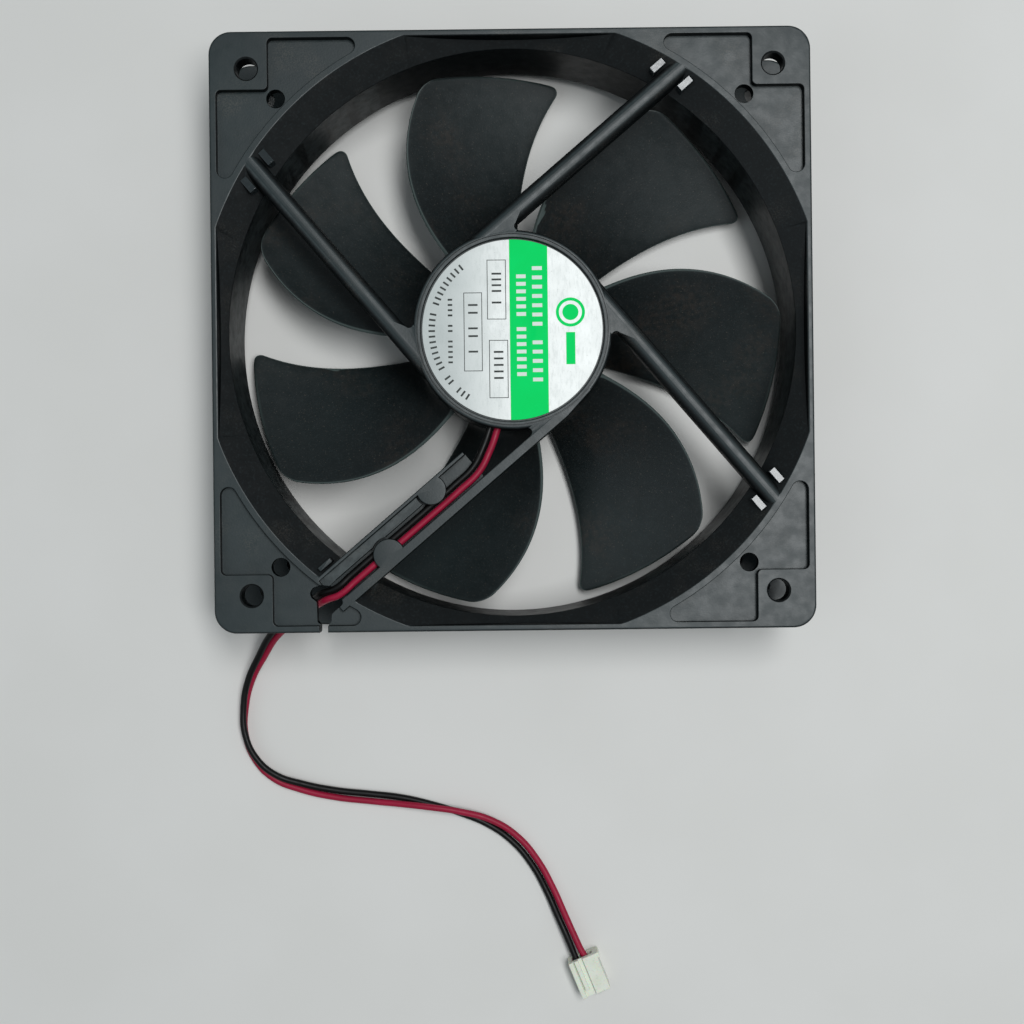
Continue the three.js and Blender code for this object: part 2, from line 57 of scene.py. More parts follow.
BASE_R = 19.9  # the motor base
SEAT_R = 18.3  # the seat of the label in it
SEAT_Z = 24.3
PLATE_Z = 23.3  # underside of the base's top plate
LABEL_R = 18.0

HUB_R = 19.6
HUB_Z = (2.5, 20.0)
BLADES = 7
TIP_R = 55.7
BLADE_TURN = 190.1  # degrees from +X to the first blade's leading edge at the hub

WIRE_D = 1.4
WIRE_PITCH = 1.52
CONNECTOR_AT = (13.4, -132.05)
CONNECTOR_TURN = -68.0
CONNECTOR_PITCH = 2.5

# The middle of the wire pair from the circuit board to the connector: x, y, z and the turn of the pair
# about its own line, in degrees. At 0 the black wire is to the right of the red one, and at 90 above it.
PAIR_ROUTE = [
    (-2.4, -13.2, 22.35, 0),
    (-3.2, -16.2, 22.35, 0),
    (-4.1, -19.8, 22.4, 0),
    (-5.5, -23.7, 22.6, 0),
    (-7.6, -27.7, 22.85, 0),
    (-11.5, -31.4, 22.9, 0),
    (-18.2, -37.2, 22.9, 0),
    (-25.9, -43.7, 22.9, 0),
    (-32.6, -49.4, 22.9, 0),
    (-35.4, -51.8, 22.85, 0),
    (-38.3, -52.9, 21.5, 0),
    (-40.6, -54.1, 19.0, 4),
    (-43.6, -56.1, 15.7, 12),
    (-47.2, -58.8, 12.0, 24),
    (-51.1, -61.9, 8.3, 38),
    (-54.3, -66.5, 5.0, 52),
    (-57.3, -72.0, 2.8, 68),
    (-58.7, -77.7, 1.75, 82),
    (-58.6, -83.9, 1.65, 100),
    (-56.3, -89.3, 1.6, 118),
    (-52.4, -93.0, 1.45, 138),
    (-46.8, -95.2, 1.2, 158),
    (-39.4, -96.9, 0.95, 175),
    (-31.8, -97.8, 1.0, 190),
    (-25.3, -98.5, 1.3, 215),
    (-18.8, -99.6, 1.6, 255),
    (-12.4, -101.1, 1.6, 292),
    (-5.9, -103.5, 1.2, 330),
    (-0.5, -107.3, 0.9, 360),
    (3.6, -112.3, 0.85, 360),
    (6.8, -118.2, 1.0, 360),
    (9.1, -123.4, 1.6, 360),
    (11.1, -127.9, 2.2, 360),
    (13.0, -132.2, 2.45, 360),
    (14.3, -134.5, 2.45, 360),
]

CAMERA_AT = (-0.5, -36.35, 300.0)
CAMERA_ROLL = -0.65  # degrees
CAMERA_LENS = 48.55

SMOOTH = 192  # segments of a large circle
ROUND = 64  # segments of a small one
QUARTERS = (0, 90, 180, 270)

# ---- outlines and solids ----


def metres(point):
    return tuple(c * MM for c in point)


def arc(centre, radius, start, end, steps=8):
    """Points of an arc, with its angles in degrees."""
    points = []
    for i in range(steps + 1):
        angle = math.radians(start + (end - start) * i / steps)
        points.append((centre[0] + radius * math.cos(angle), centre[1] + radius * math.sin(angle)))
    return points


def square(half, radius, steps=12):
    """A square round the axis with rounded corners."""
    inner = half - radius
    corners = ((inner, inner, 0), (-inner, inner, 90), (-inner, -inner, 180), (inner, -inner, 270))
    return [p for x, y, turn in corners for p in arc((x, y), radius, turn, turn + 90, steps)]


def rectangle(x0, x1, y0, y1):
    return [(x0, y0), (x1, y0), (x1, y1), (x0, y1)]


def fillet(before, corner, after, radius, steps=4):
    """Points that round the corner between two straight sides, as far as their lengths allow."""
    here = Vector(corner)
    back = Vector(before) - here
    ahead = Vector(after) - here
    half = back.angle(ahead) / 2
    reach = min(radius / math.tan(half), back.length * 0.49, ahead.length * 0.49)
    size = reach * math.tan(half)
    middle = here + (back.normalized() + ahead.normalized()).normalized() * (size / math.sin(half))
    start = here + back.normalized() * reach - middle
    end = here + ahead.normalized() * reach - middle
    first = math.atan2(start.y, start.x)
    sweep = (math.atan2(end.y, end.x) - first + math.pi) % (2 * math.pi) - math.pi
    angles = [first + sweep * k / steps for k in range(steps + 1)]
    return [(middle.x + size * math.cos(a), middle.y + size * math.sin(a)) for a in angles]


def rounded(outline, radius, steps=4):
    """The outline with all its corners rounded."""
    sides = zip(outline[-1:] + outline[:-1], outline, outline[1:] + outline[:1])
    return [p for before, corner, after in sides for p in fillet(before, corner, after, radius, steps)]


def grown(outline, distance):
    """The outline moved outwards by a distance. It runs counterclockwise."""
    points = []
    for i, point in enumerate(outline):
        here = Vector(point)
        before = (here - Vector(outline[i - 1])).normalized()
        after = (Vector(outline[(i + 1) % len(outline)]) - here).normalized()
        normals = [Vector((side.y, -side.x)) for side in (before, after)]
        mitre = (normals[0] + normals[1]) / (1 + normals[0].dot(normals[1]))
        points.append(tuple(here + mitre * distance))
    return points


def object_of(name, vertices, faces):
    """An object with this mesh. Faces of more than four corners are split into triangles."""
    mesh = bpy.data.meshes.new(name)
    mesh.from_pydata([metres(v) for v in vertices], [], faces)
    shape = bmesh.new()
    shape.from_mesh(mesh)
    bmesh.ops.triangulate(shape, faces=[face for face in shape.faces if len(face.verts) > 4])
    shape.to_mesh(mesh)
    shape.free()
    obj = bpy.data.objects.new(name, mesh)
    bpy.context.scene.collection.objects.link(obj)
    return obj


def rings_object(name, rings):
    """A closed body through rings of equally many points, with flat ends."""
    count = len(rings[0])
    vertices = [p for ring in rings for p in ring]
    faces = [tuple(reversed(range(count)))]
    for i in range(len(rings) - 1):
        a, b = i * count, (i + 1) * count
        for j in range(count):
            k = (j + 1) % count
            faces.append((a + j, a + k, b + k, b + j))
    faces.append(tuple(range((len(rings) - 1) * count, len(rings) * count)))
    return object_of(name, vertices, faces)


def prism(name, outline, levels):
    """A body on an outline. Each level is a height and how far the outline is grown there."""
    return rings_object(name, [[(x, y, z) for x, y in grown(outline, grow)] for z, grow in levels])


def soft_levels(z0, z1, low=0.0, high=0.0, steps=3):
    """Levels of a prism whose lower and upper edges are rounded."""
    levels = [(z0, 0.0)] if not low else []
    for i in range(steps + 1 if low else 0):
        angle = math.pi / 2 * i / steps
        levels.append((z0 + low * (1 - math.cos(angle)), -low * (1 - math.sin(angle))))
    for i in range(steps + 1 if high else 0):
        angle = math.pi / 2 * i / steps
        levels.append((z1 - high * (1 - math.sin(angle)), -high * (1 - math.cos(angle))))
    return levels if high else levels + [(z1, 0.0)]


def flared_levels(z0, face, radius, steps=3):
    """Levels of a cutter that leaves a rounded edge where it comes out of a face above it."""
    levels = [(z0, 0.0)]
    for i in range(steps + 1):
        angle = math.pi / 2 * i / steps
        levels.append((face - radius * (1 - math.sin(angle)), radius * (1 - math.cos(angle))))
    return levels + [(face + 1, radius)]


def turned(name, profile, segments=SMOOTH):
    """A body of revolution about Z. The profile lists (radius, z) counterclockwise; it starts and ends on
    the axis, or closes on itself."""
    closed = profile[0][0] > 0
    vertices, rows = [], []
    for radius, z in profile:
        if radius == 0:
            rows.append([len(vertices)] * segments)
            vertices.append((0, 0, z))
            continue
        rows.append(list(range(len(vertices), len(vertices) + segments)))
        for j in range(segments):
            angle = 2 * math.pi * j / segments
            vertices.append((radius * math.cos(angle), radius * math.sin(angle), z))
    faces = []
    pairs = list(zip(rows, rows[1:])) + ([(rows[-1], rows[0])] if closed else [])
    for low, high in pairs:
        for j in range(segments):
            k = (j + 1) % segments
            corners = (low[j], low[k], high[k], high[j])
            face = [c for n, c in enumerate(corners) if c != corners[n - 1]]
            if len(face) > 2:
                faces.append(face)
    return object_of(name, vertices, faces)


def drum(radius, z0, z1, segments=SMOOTH):
    return turned("drum", [(0, z0), (radius, z0), (radius, z1), (0, z1)], segments)


def tube_profile(inner, outer, z0, z1, edge):
    """The profile of a ring with small chamfers on its edges."""
    return [
        (inner + edge, z0), (outer - edge, z0), (outer, z0 + edge), (outer, z1 - edge),
        (outer - edge, z1), (inner + edge, z1), (inner, z1 - edge), (inner, z0 + edge),
    ]


def hole_cutter(radius, x, y, edge):
    """A drill through both faces that leaves a chamfer at each."""
    wide = radius + edge
    profile = [
        (0, -1), (wide, -1), (wide, 0), (radius, edge),
        (radius, DEPTH - edge), (wide, DEPTH), (wide, DEPTH + 1), (0, DEPTH + 1),
    ]
    return placed(turned("hole", profile, ROUND), shift(x, y))


def block(x, y, z, edge=0.0):
    """A box with its upright and upper edges rounded."""
    outline = rectangle(*x, *y)
    if not edge:
        return prism("block", outline, [(z[0], 0), (z[1], 0)])
    return prism("block", rounded(outline, edge), soft_levels(*z, high=edge))


def placed(obj, *moves):
    """Applies matrices whose translations are in millimetres, the first one first."""
    for move in moves:
        matrix = move.copy()
        matrix.translation *= MM
        obj.data.transform(matrix)
    return obj


def turn_z(degrees):
    return Matrix.Rotation(math.radians(degrees), 4, "Z")


def shift(x, y, z=0.0):
    return Matrix.Translation((x, y, z))


def copies(obj, turns):
    """The object and copies of it, turned about Z by these angles."""
    made = []
    for turn in turns:
        copy = obj.copy()
        copy.data = obj.data.copy()
        bpy.context.scene.collection.objects.link(copy)
        made.append(placed(copy, turn_z(turn)))
    bpy.data.objects.remove(obj)
    return made


def gathered(objs):
    """One object of bodies that don't touch each other."""
    mesh = bpy.data.meshes.new("gathered")
    vertices, faces = [], []
    for obj in objs:
        first = len(vertices)
        vertices += [tuple(v.co) for v in obj.data.vertices]
        faces += [[first + n for n in face.vertices] for face in obj.data.polygons]
        bpy.data.objects.remove(obj)
    mesh.from_pydata(vertices, [], faces)
    whole = bpy.data.objects.new("gathered", mesh)
    bpy.context.scene.collection.objects.link(whole)
    return whole


def apply_modifiers(obj):
    """Turns what the modifiers make of an object into its mesh."""
    graph = bpy.context.evaluated_depsgraph_get()
    mesh = bpy.data.meshes.new_from_object(obj.evaluated_get(graph))
    obj.modifiers.clear()
    obj.data = mesh
    return obj


def combined(obj, others, operation):
    """Joins ("UNION"), cuts ("DIFFERENCE") or keeps the common part ("INTERSECT") of closed bodies."""
    for other in others:
        modifier = obj.modifiers.new(operation.lower(), "BOOLEAN")
        modifier.operation = operation
        modifier.solver = "MANIFOLD"
        modifier.object = other
    apply_modifiers(obj)
    for other in others:
        bpy.data.objects.remove(other)
    return obj


def joined(*objs):
    return combined(objs[0], objs[1:], "UNION")


def cut(obj, *tools):
    return combined(obj, tools, "DIFFERENCE")


def common(obj, other):
    return combined(obj, [other], "INTERSECT")


# ---- frame ----

POCKET_Z = DEPTH - 1.6
POCKET_R = 63.9
POCKET_HALF = 58.6
POCKET_TIP = 1.65  # radius of the pocket's two rounded ends
POCKET_CORNER = 1.0  # radius of its other corners
PAD_AT = 48.3  # the two inner sides of the square corner pad
DUCT_FILLET = 0.7  # where the duct meets the flanges


def mouth_cutter():
    """The opening of the outlet face: a cone that narrows to the bore, cut short by four flats."""
    inner = DEPTH - FLARE
    bend = fillet((BORE_R, inner - 2), (BORE_R, inner), (MOUTH_R, DEPTH), 0.25)
    edge = fillet((BORE_R, inner), (MOUTH_R, DEPTH), (MOUTH_R + 2, DEPTH), RIM)
    profile = [(0, inner - 2), (BORE_R, inner - 2), *bend, *edge, (edge[-1][0], DEPTH + 1), (0, DEPTH + 1)]
    flats = prism("flats", square(MOUTH_HALF, 3), flared_levels(inner - 3, DEPTH, RIM))
    return common(turned("mouth", profile), flats)


def turned_over(obj):
    """A cutter for the intake face, made from one for the outlet face."""
    return placed(obj, Matrix.Rotation(math.pi, 4, "X"), shift(0, 0, DEPTH))


def pocket_cutter():
    """The shallow pocket of one corner, which runs round the inside of its square pad."""
    far = POCKET_HALF - POCKET_TIP
    near = math.sqrt((POCKET_R + POCKET_TIP) ** 2 - far**2)
    turn = math.degrees(math.atan2(near, far))
    corner = POCKET_CORNER
    outline = [
        *arc((0, 0), POCKET_R, 90 - turn, turn, 24),
        *arc((far, near), POCKET_TIP, 180 + turn, 360, 12)[1:],
        *arc((POCKET_HALF - corner, PAD_AT - corner), corner, 0, 90),
        *arc((PAD_AT + corner, PAD_AT + corner), corner, 270, 180),
        *arc((PAD_AT - corner, POCKET_HALF - corner), corner, 0, 90),
        *arc((near, far), POCKET_TIP, 90, 270 - turn, 12)[:-1],
    ]
    return prism("pocket", outline, flared_levels(POCKET_Z, DEPTH, 0.15))


def duct():
    """The round wall between the flanges, with a fillet at each of them."""
    rim = DUCT_R + DUCT_FILLET
    low = arc((rim, FLANGE + DUCT_FILLET), DUCT_FILLET, 270, 180)
    high = arc((rim, DEPTH - FLANGE - DUCT_FILLET), DUCT_FILLET, 180, 90)
    return turned("duct", [(0, 1), (rim, 1), *low, *high, (rim, DEPTH - 1), (0, DEPTH - 1)])


def shell():
    """The two square flanges and the duct, with the openings, pockets and holes cut in them."""
    plate = square(HALF, CORNER_R)
    flanges = [prism("flange", plate, soft_levels(z, z + FLANGE, RIM, RIM)) for z in (0, DEPTH - FLANGE)]
    body = joined(duct(), *flanges)
    bore = drum(BORE_R, -1, DEPTH + 1)
    signs = [(x, y) for x in (-1, 1) for y in (-1, 1)]
    holes = [hole_cutter(BOLT_R, x * BOLT_AT, y * BOLT_AT, 0.3) for x, y in signs]
    pins = [hole_cutter(PIN_R, x * PIN_AT, y * PIN_AT, 0.2) for x, y in signs]
    pockets = copies(pocket_cutter(), QUARTERS)
    return cut(body, bore, mouth_cutter(), turned_over(mouth_cutter()), *pockets, *holes, *pins)


STRUT_TURNS = [STRUT_TURN + 90 * k for k in (1, 2, 3)]  # of the three plain struts
STRUT_STEPS = 16  # segments of a strut's rounded top
STRUT_RISE = 1.9  # height of that top
FULLNESS = 2.3  # of its curve: 2 would be an ellipse, and more is squarer
STRUT_EDGE = 0.2
WEB_R = 0.8
WEB_ALONG = 4.0  # how far a web runs out along its strut
WEB_END = -6.0  # where it ends inside the motor base
EDGE = 0.15  # rounding of the struts' and the channel's small edges


def web(side, middle):
    """The flat web in the corner between a strut and the motor base. The strut's side and its middle lie at
    these distances from the axis."""
    across = side - WEB_R
    along = math.sqrt((BASE_R + WEB_R) ** 2 - across**2)
    touch = math.degrees(math.atan2(across, along))
    corner = arc((-along, -across), WEB_R, touch, -90)
    outline = [(-along - WEB_ALONG, -middle), (WEB_END, -middle), (WEB_END, -across), *corner]
    return prism("web", outline, soft_levels(STRUT_Z + 0.1, DEPTH - 0.02, high=EDGE))


def strut():
    """One plain strut, lying along X and passing the axis on its -Y side."""
    half, rise, edge = STRUT_HALF, STRUT_RISE, STRUT_EDGE
    dome = []
    for k in range(STRUT_STEPS + 1):
        angle = math.pi * k / STRUT_STEPS
        across = math.copysign(abs(math.cos(angle)) ** (2 / FULLNESS), math.cos(angle))
        dome.append((half * across, DEPTH - rise + rise * math.sin(angle) ** (2 / FULLNESS)))
    foot = [(-half + edge, STRUT_Z), (half - edge, STRUT_Z), (half, STRUT_Z + edge)]
    section = [*foot, *dome, (-half, STRUT_Z + edge)]
    bar = rings_object("bar", [[(x, y, z) for y, z in section] for x in (STRUT_START, 0)])
    body = placed(bar, shift(0, -STRUT_OFFSET))
    return joined(body, web(STRUT_OFFSET - half, STRUT_OFFSET))


PAD_Z = 24.6  # top of the pads and the ledge beside the struts' outer ends
PAD_LENGTH = 3.2
PAD_WIDTH = 1.5
PAD_SINK = 0.5  # how far a pad reaches into the flare
PAD_PLACES = ((-58.1, -21.5), (-59.9, -15.2))  # x and y where a pad starts, beside the strut along X


def strut_pads():
    """The small smooth pads on the flare, on both sides of each plain strut's outer end."""
    height = (STRUT_Z - PAD_SINK, PAD_Z)
    pads = [block((x, x + PAD_LENGTH), (y, y + PAD_WIDTH), height, 0.12) for x, y in PAD_PLACES]
    return gathered([copy for pad in pads for copy in copies(pad, STRUT_TURNS)])


# The wire channel lies along X on the -Y side, as the plain struts do. Pairs of numbers are spans in y.
CHANNEL = (-62.4, -23.5)  # its span in x
OUTER_RAIL = (-20.3, -18.25)
RAIL_END = ((-3.0, -20.3), (4.0, -19.4))  # where the outer rail tapers into the motor base
RAIL_WEB = 19.3  # the middle of its web, from the axis
TROUGH = (-18.25, -14.5)
LEDGE = (-14.5, -12.5)
LEDGE_END = -31.0
INNER_RAIL = (-12.5, -11.8)
FLOOR_Z = STRUT_Z + 0.9
LEDGE_Z = 23.9
TABS = ((-33.2, -13.5, 3.0), (-48.0, -17.7, 3.2))  # x, y and radius of the two tabs over the wires
TAB_Z = 24.0
TAB_EDGE = 0.25
TAB_GAP = 0.45  # between a tab and the relief round it in the ledge
SIDE_LEDGE = ((-60.6, -57.4), (-11.3, -10.3))  # x and y of the one small ledge at its outer end
MOUTH_SPAN = (-62.0, -52.0)  # in x, of its passage through the flange


def channel_bed():
    """The floor of the channel and the raised ledge beside the wires, with a relief under each tab."""
    bed = joined(
        block(CHANNEL, (OUTER_RAIL[0] + 0.2, INNER_RAIL[1] - 0.1), (STRUT_Z, FLOOR_Z)),
        block((CHANNEL[0], LEDGE_END), LEDGE, (STRUT_Z, LEDGE_Z), EDGE),
    )
    for x, y, radius in TABS:
        relief = drum(radius + TAB_GAP, FLOOR_Z, DEPTH + 1, ROUND)
        bed = cut(bed, placed(relief, shift(x, y)))
    return bed


def channel_tabs():
    """The two round tabs that hold the wires down."""
    tabs = []
    for x, y, radius in TABS:
        rim = arc((radius - TAB_EDGE, DEPTH - TAB_EDGE), TAB_EDGE, 0, 90)
        profile = [(0, TAB_Z), (radius, TAB_Z), *rim, (0, DEPTH)]
        tabs.append(placed(turned("tab", profile, ROUND), shift(x, y)))
    within = block(CHANNEL, (OUTER_RAIL[0] + 0.5, INNER_RAIL[1] - 0.4), (STRUT_Z, DEPTH + 1))
    return common(joined(*tabs), within)


def channel():
    """The fourth strut, which holds the wires."""
    full = (STRUT_Z, DEPTH)
    start = CHANNEL[0]
    low, high = OUTER_RAIL
    outer = [(start, low), *RAIL_END, (RAIL_END[1][0], high), (start, high)]
    bed = channel_bed()
    inner = block(CHANNEL, (INNER_RAIL[0] - 0.05, INNER_RAIL[1]), full, 0.2)
    tabs = channel_tabs()
    ledge = block(*SIDE_LEDGE, (STRUT_Z - 1, PAD_Z), EDGE)
    rail = prism("rail", rounded(outer, EDGE), soft_levels(*full, high=0.25))
    return joined(rail, web(-OUTER_RAIL[1], RAIL_WEB), bed, inner, tabs, ledge)


def channel_mouth():
    """Where the channel runs on through the flange, between the flare and the wire slot."""
    upper = rectangle(*MOUTH_SPAN, LEDGE[0] - 0.1, LEDGE[1])
    low = prism("trough", rectangle(*MOUTH_SPAN, *TROUGH), flared_levels(FLOOR_Z, DEPTH, EDGE))
    high = prism("ledge", upper, flared_levels(LEDGE_Z, DEPTH, EDGE))
    return placed(joined(low, high), turn_z(STRUT_TURN))


WIRE_HOLE = [  # the opening through the flange, between the channel's end and the notch
    (-36.8, -56.4), (-34.1, -54.0), (-37.2, -50.7), (-39.0, -50.5), (-40.6, -51.1),
    (-41.2, -52.1), (-40.9, -53.1), (-39.8, -53.9), (-39.7, -58.4), (-36.9, -58.4),
]
NOTCH = (-39.1, -37.4, -61.0, -57.5)  # x from and to, y from and to
DOOR_AT = (-3.9, -19.1)
DOOR_TURN = 78.0


def wire_slot():
    """The opening through the flange where the wires leave the channel, and the notch to the edge."""
    opening = prism("slot", rounded(WIRE_HOLE, 0.8), flared_levels(STRUT_Z - 1, DEPTH, 0.12))
    notch = prism("notch", rectangle(*NOTCH), flared_levels(STRUT_Z - 1, DEPTH, EDGE))
    return joined(opening, notch)


def wire_door():
    """The way out of the motor base for the two wires, under its top plate."""
    door = block((-3, 3), (-2.1, 2.1), (STRUT_Z - 1, PLATE_Z))
    return placed(door, turn_z(DOOR_TURN), shift(*DOOR_AT))


BASE_EDGE = 0.6  # rounding of the motor base's outer edge
SEAT_EDGE = 0.25
GROOVE_R = SEAT_R + 0.6  # the fine ring groove round the label
GROOVE_WIDTH = 0.25
TUBE_R = 4.7  # the bearing tube
TUBE_BORE_R = 3.6
TUBE_Z = 7.8


def motor_base():
    """The round plate in the middle with its skirt, the seat of the label and the bearing tube."""
    outer_edge = arc((BASE_R - BASE_EDGE, DEPTH - BASE_EDGE), BASE_EDGE, 0, 90)
    seat_edge = arc((SEAT_R + SEAT_EDGE, DEPTH - SEAT_EDGE), SEAT_EDGE, 90, 180)
    profile = [
        (TUBE_BORE_R + 0.1, TUBE_Z), (TUBE_R - 0.1, TUBE_Z), (TUBE_R, TUBE_Z + 0.1), (TUBE_R, PLATE_Z),
        (SEAT_R, PLATE_Z), (SEAT_R, STRUT_Z), (BASE_R - 0.2, STRUT_Z), (BASE_R, STRUT_Z + 0.2),
        *outer_edge, *seat_edge, (SEAT_R, SEAT_Z), (TUBE_BORE_R, SEAT_Z), (TUBE_BORE_R, TUBE_Z + 0.1),
    ]
    return turned("base", profile)


def spokes():
    """The wire channel and the three plain struts, kept inside the frame and outside the label's seat."""
    bars = joined(placed(channel(), turn_z(STRUT_TURN)), *copies(strut(), STRUT_TURNS))
    middle = drum(GROOVE_R, 0, DEPTH + 1)
    plate = prism("plate", square(HALF, CORNER_R), [(0, -0.3), (DEPTH, -0.3)])
    return cut(common(bars, plate), middle)


def fan_frame():
    """The whole housing, as one moulding."""
    bars = spokes()
    whole = joined(shell(), bars, motor_base())
    groove = turned("groove", tube_profile(GROOVE_R, GROOVE_R + GROOVE_WIDTH, DEPTH - 0.3, DEPTH + 1, 0.05))
    return cut(whole, groove, wire_slot(), wire_door(), channel_mouth())


# ---- impeller ----

HUB_BORE_R = 18.5
HUB_FACE = 1.5  # thickness of the hub's closed end
BLADE_ROOT_R = 18.9
BLADE_POINTS = 72  # points round a blade's section
BLADE_Z = 3.0
BLADE_RISE = 15.0  # from the leading to the trailing edge, at the hub
BLADE_ARC = 41.9  # degrees between those edges, at the hub
LEADING_SWEEP = (8.9, 2.05)  # degrees backwards at the tip, and the power of the span it grows with
TRAILING_SWEEP = (20.5, 1.85)
BLADE_LOSS = 2.6  # how much less the blade rises at the tip
CAMBER = 0.3
TIP_CORNER = 2.2  # rounding of the tip's two corners in outline
TIP_CHORD = 24.0  # the chord is drawn in at both ends by the rounding over this length
TIP_EDGE = 0.6  # width of the rounded edge at the tip


def blade_point(r, chord, lift):
    """A point at radius r, at a share of the chord, lifted from the blade's middle surface."""
    span = max(0.0, (r - HUB_R + 0.6) / (TIP_R - HUB_R + 0.6))
    leading = math.radians(BLADE_TURN - LEADING_SWEEP[0] * span ** LEADING_SWEEP[1])
    trailing = math.radians(BLADE_TURN + BLADE_ARC - TRAILING_SWEEP[0] * span ** TRAILING_SWEEP[1])
    rise = BLADE_RISE - BLADE_LOSS * span
    across = r * (trailing - leading)
    slope = rise * (1 - CAMBER + 2 * CAMBER * chord)
    length = math.hypot(across, slope)
    angle = leading + (trailing - leading) * chord - lift * slope / (length * r)
    z = BLADE_Z - 0.3 * span + rise * (chord - CAMBER * chord * (1 - chord)) + lift * across / length
    return r * math.cos(angle), r * math.sin(angle), z


def blade_ring(r):
    """The section of a blade at radius r. It thickens into the hub and is rounded at the tip."""
    span = (r - BLADE_ROOT_R) / (TIP_R - BLADE_ROOT_R)
    half = 0.95 - 0.35 * span + 0.9 * math.exp(-(r - HUB_R) / 0.7) if r > HUB_R else 1.85
    left = TIP_R - r
    inset = 0.0
    if left < TIP_CORNER:
        inset = TIP_CORNER - math.sqrt(TIP_CORNER**2 - (TIP_CORNER - left) ** 2)
    if left < TIP_EDGE:
        half *= max(0.25, math.sqrt(1 - (1 - left / TIP_EDGE) ** 2))
    share = inset / TIP_CHORD
    ring = []
    for j in range(BLADE_POINTS):
        turn = 2 * math.pi * j / BLADE_POINTS
        chord = (1 - math.cos(turn)) / 2
        depth = half * (0.62 + 0.38 * math.sin(math.pi * chord**0.8)) * abs(math.sin(turn)) ** 0.25
        ring.append(blade_point(r, share + (1 - 2 * share) * chord, -math.copysign(depth, math.sin(turn))))
    return ring


def blade():
    """The first blade, from inside the hub's wall to the tip."""
    root = [BLADE_ROOT_R, HUB_R - 0.1, HUB_R + 0.15, HUB_R + 0.4, HUB_R + 0.8, HUB_R + 1.3, HUB_R + 2]
    middle = [HUB_R + 2 + (TIP_R - HUB_R - 4.4) * i / 26 for i in range(1, 27)]
    tip = [TIP_R - d for d in (2.0, 1.6, 1.2, 0.85, 0.55, 0.3, 0.12, 0.0)]
    return rings_object("blade", [blade_ring(r) for r in (*root, *middle, *tip)])


def hub():
    """The closed cup in the middle: a dimple and a ring groove in its face, and a wide round edge."""
    z0, z1 = HUB_Z
    bore = HUB_BORE_R
    dimple, slope, face = (3, z0 + 0.5), (3.4, z0), z0 + HUB_FACE
    dimple_edge = fillet((0, z0 + 0.5), dimple, slope, 0.3) + fillet(dimple, slope, (10, z0), 0.3)
    groove = [(15.2, z0), (15.4, z0 + 0.25), (15.9, z0 + 0.25), (16.1, z0)]
    profile = [
        (0, z0 + 0.5), *dimple_edge, *groove, *arc((HUB_R - 1.6, z0 + 1.6), 1.6, 270, 360, 10),
        (HUB_R, z1 - 0.2), (HUB_R - 0.2, z1), (bore + 0.2, z1), (bore, z1 - 0.2),
        *fillet((bore, z1), (bore, face), (0, face), 0.8), (0, face),
    ]
    return turned("hub", profile)


def fan_impeller():
    return joined(hub(), *copies(blade(), [360 * k / BLADES for k in range(BLADES)]))


# ---- label ----

LABEL_Z = (SEAT_Z + 0.1, SEAT_Z + 0.3)
LABEL_EDGE = 0.04
LABEL_SAG = (  # radius and height of the label's dip over the bearing tube
    (5.6, 0), (5.0, 0.02), (4.6, 0), (4.2, -0.06), (3.8, -0.12), (3.3, -0.15), (2.8, -0.16), (0, -0.16),
)


def fan_label():
    """The label, which sinks a little where it spans the bearing tube."""
    low, high = LABEL_Z
    inner = LABEL_R - LABEL_EDGE
    rim = [(inner, low), (LABEL_R, low + LABEL_EDGE), (LABEL_R, high - LABEL_EDGE), (inner, high)]
    return turned("label", [(0, low), *rim, *((r, high + rise) for r, rise in LABEL_SAG)])


# ---- lead and plug ----


def wire_points(side):
    """The line of one wire: the pair's line, moved by half the distance between the wires."""
    places = [Vector(p[:3]) for p in PAIR_ROUTE]
    spread = [CONNECTOR_PITCH, 1.85, WIRE_PITCH]  # from the end backwards
    points = []
    for i, (place, row) in enumerate(zip(places, PAIR_ROUTE)):
        heading = (places[min(i + 1, len(places) - 1)] - places[max(i - 1, 0)]).normalized()
        right = Vector((heading.y, -heading.x, 0)).normalized()
        up = right.cross(heading)
        turn = math.radians(row[3])
        gap = spread[min(len(places) - 1 - i, len(spread) - 1)]
        points.append(place + (right * math.cos(turn) + up * math.sin(turn)) * (side * gap / 2))
    return points


def wire(name, side):
    """One wire, as a round curve through its points. The side is -1 for red and 1 for black."""
    curve = bpy.data.curves.new(name, "CURVE")
    curve.dimensions = "3D"
    curve.bevel_depth = WIRE_D / 2 * MM
    curve.bevel_resolution = 5
    curve.resolution_u = 10
    curve.use_fill_caps = True
    spline = curve.splines.new("BEZIER")
    points = wire_points(side)
    spline.bezier_points.add(len(points) - 1)
    for knot, point in zip(spline.bezier_points, points):
        knot.co = point * MM
        knot.handle_left_type = knot.handle_right_type = "AUTO"
    obj = bpy.data.objects.new(name, curve)
    bpy.context.scene.collection.objects.link(obj)
    return obj


def to_connector(obj):
    """Moves a piece of the plug to its place on the table."""
    return placed(obj, turn_z(CONNECTOR_TURN), shift(*CONNECTOR_AT))


PLUG_LENGTH = 8.2
PLUG_HALF = 3.2  # half its width
PLUG_HEIGHT = 4.8
PLUG_SIDES = (-CONNECTOR_PITCH / 2, CONNECTOR_PITCH / 2)  # y of the two terminals
CAVITY = ((1.4, 0), (3.5, 0))  # levels of the cavities
BEYOND = 1.0  # how far a cutter reaches out of the plug
TOP_GROOVES = (  # x from and to, y from and to
    (-BEYOND, PLUG_LENGTH + BEYOND, -2.2, -1.9),
    (-BEYOND, PLUG_LENGTH + BEYOND, -1, 0),
    (PLUG_LENGTH - 1.5, PLUG_LENGTH + BEYOND, -2.2, 0),
)


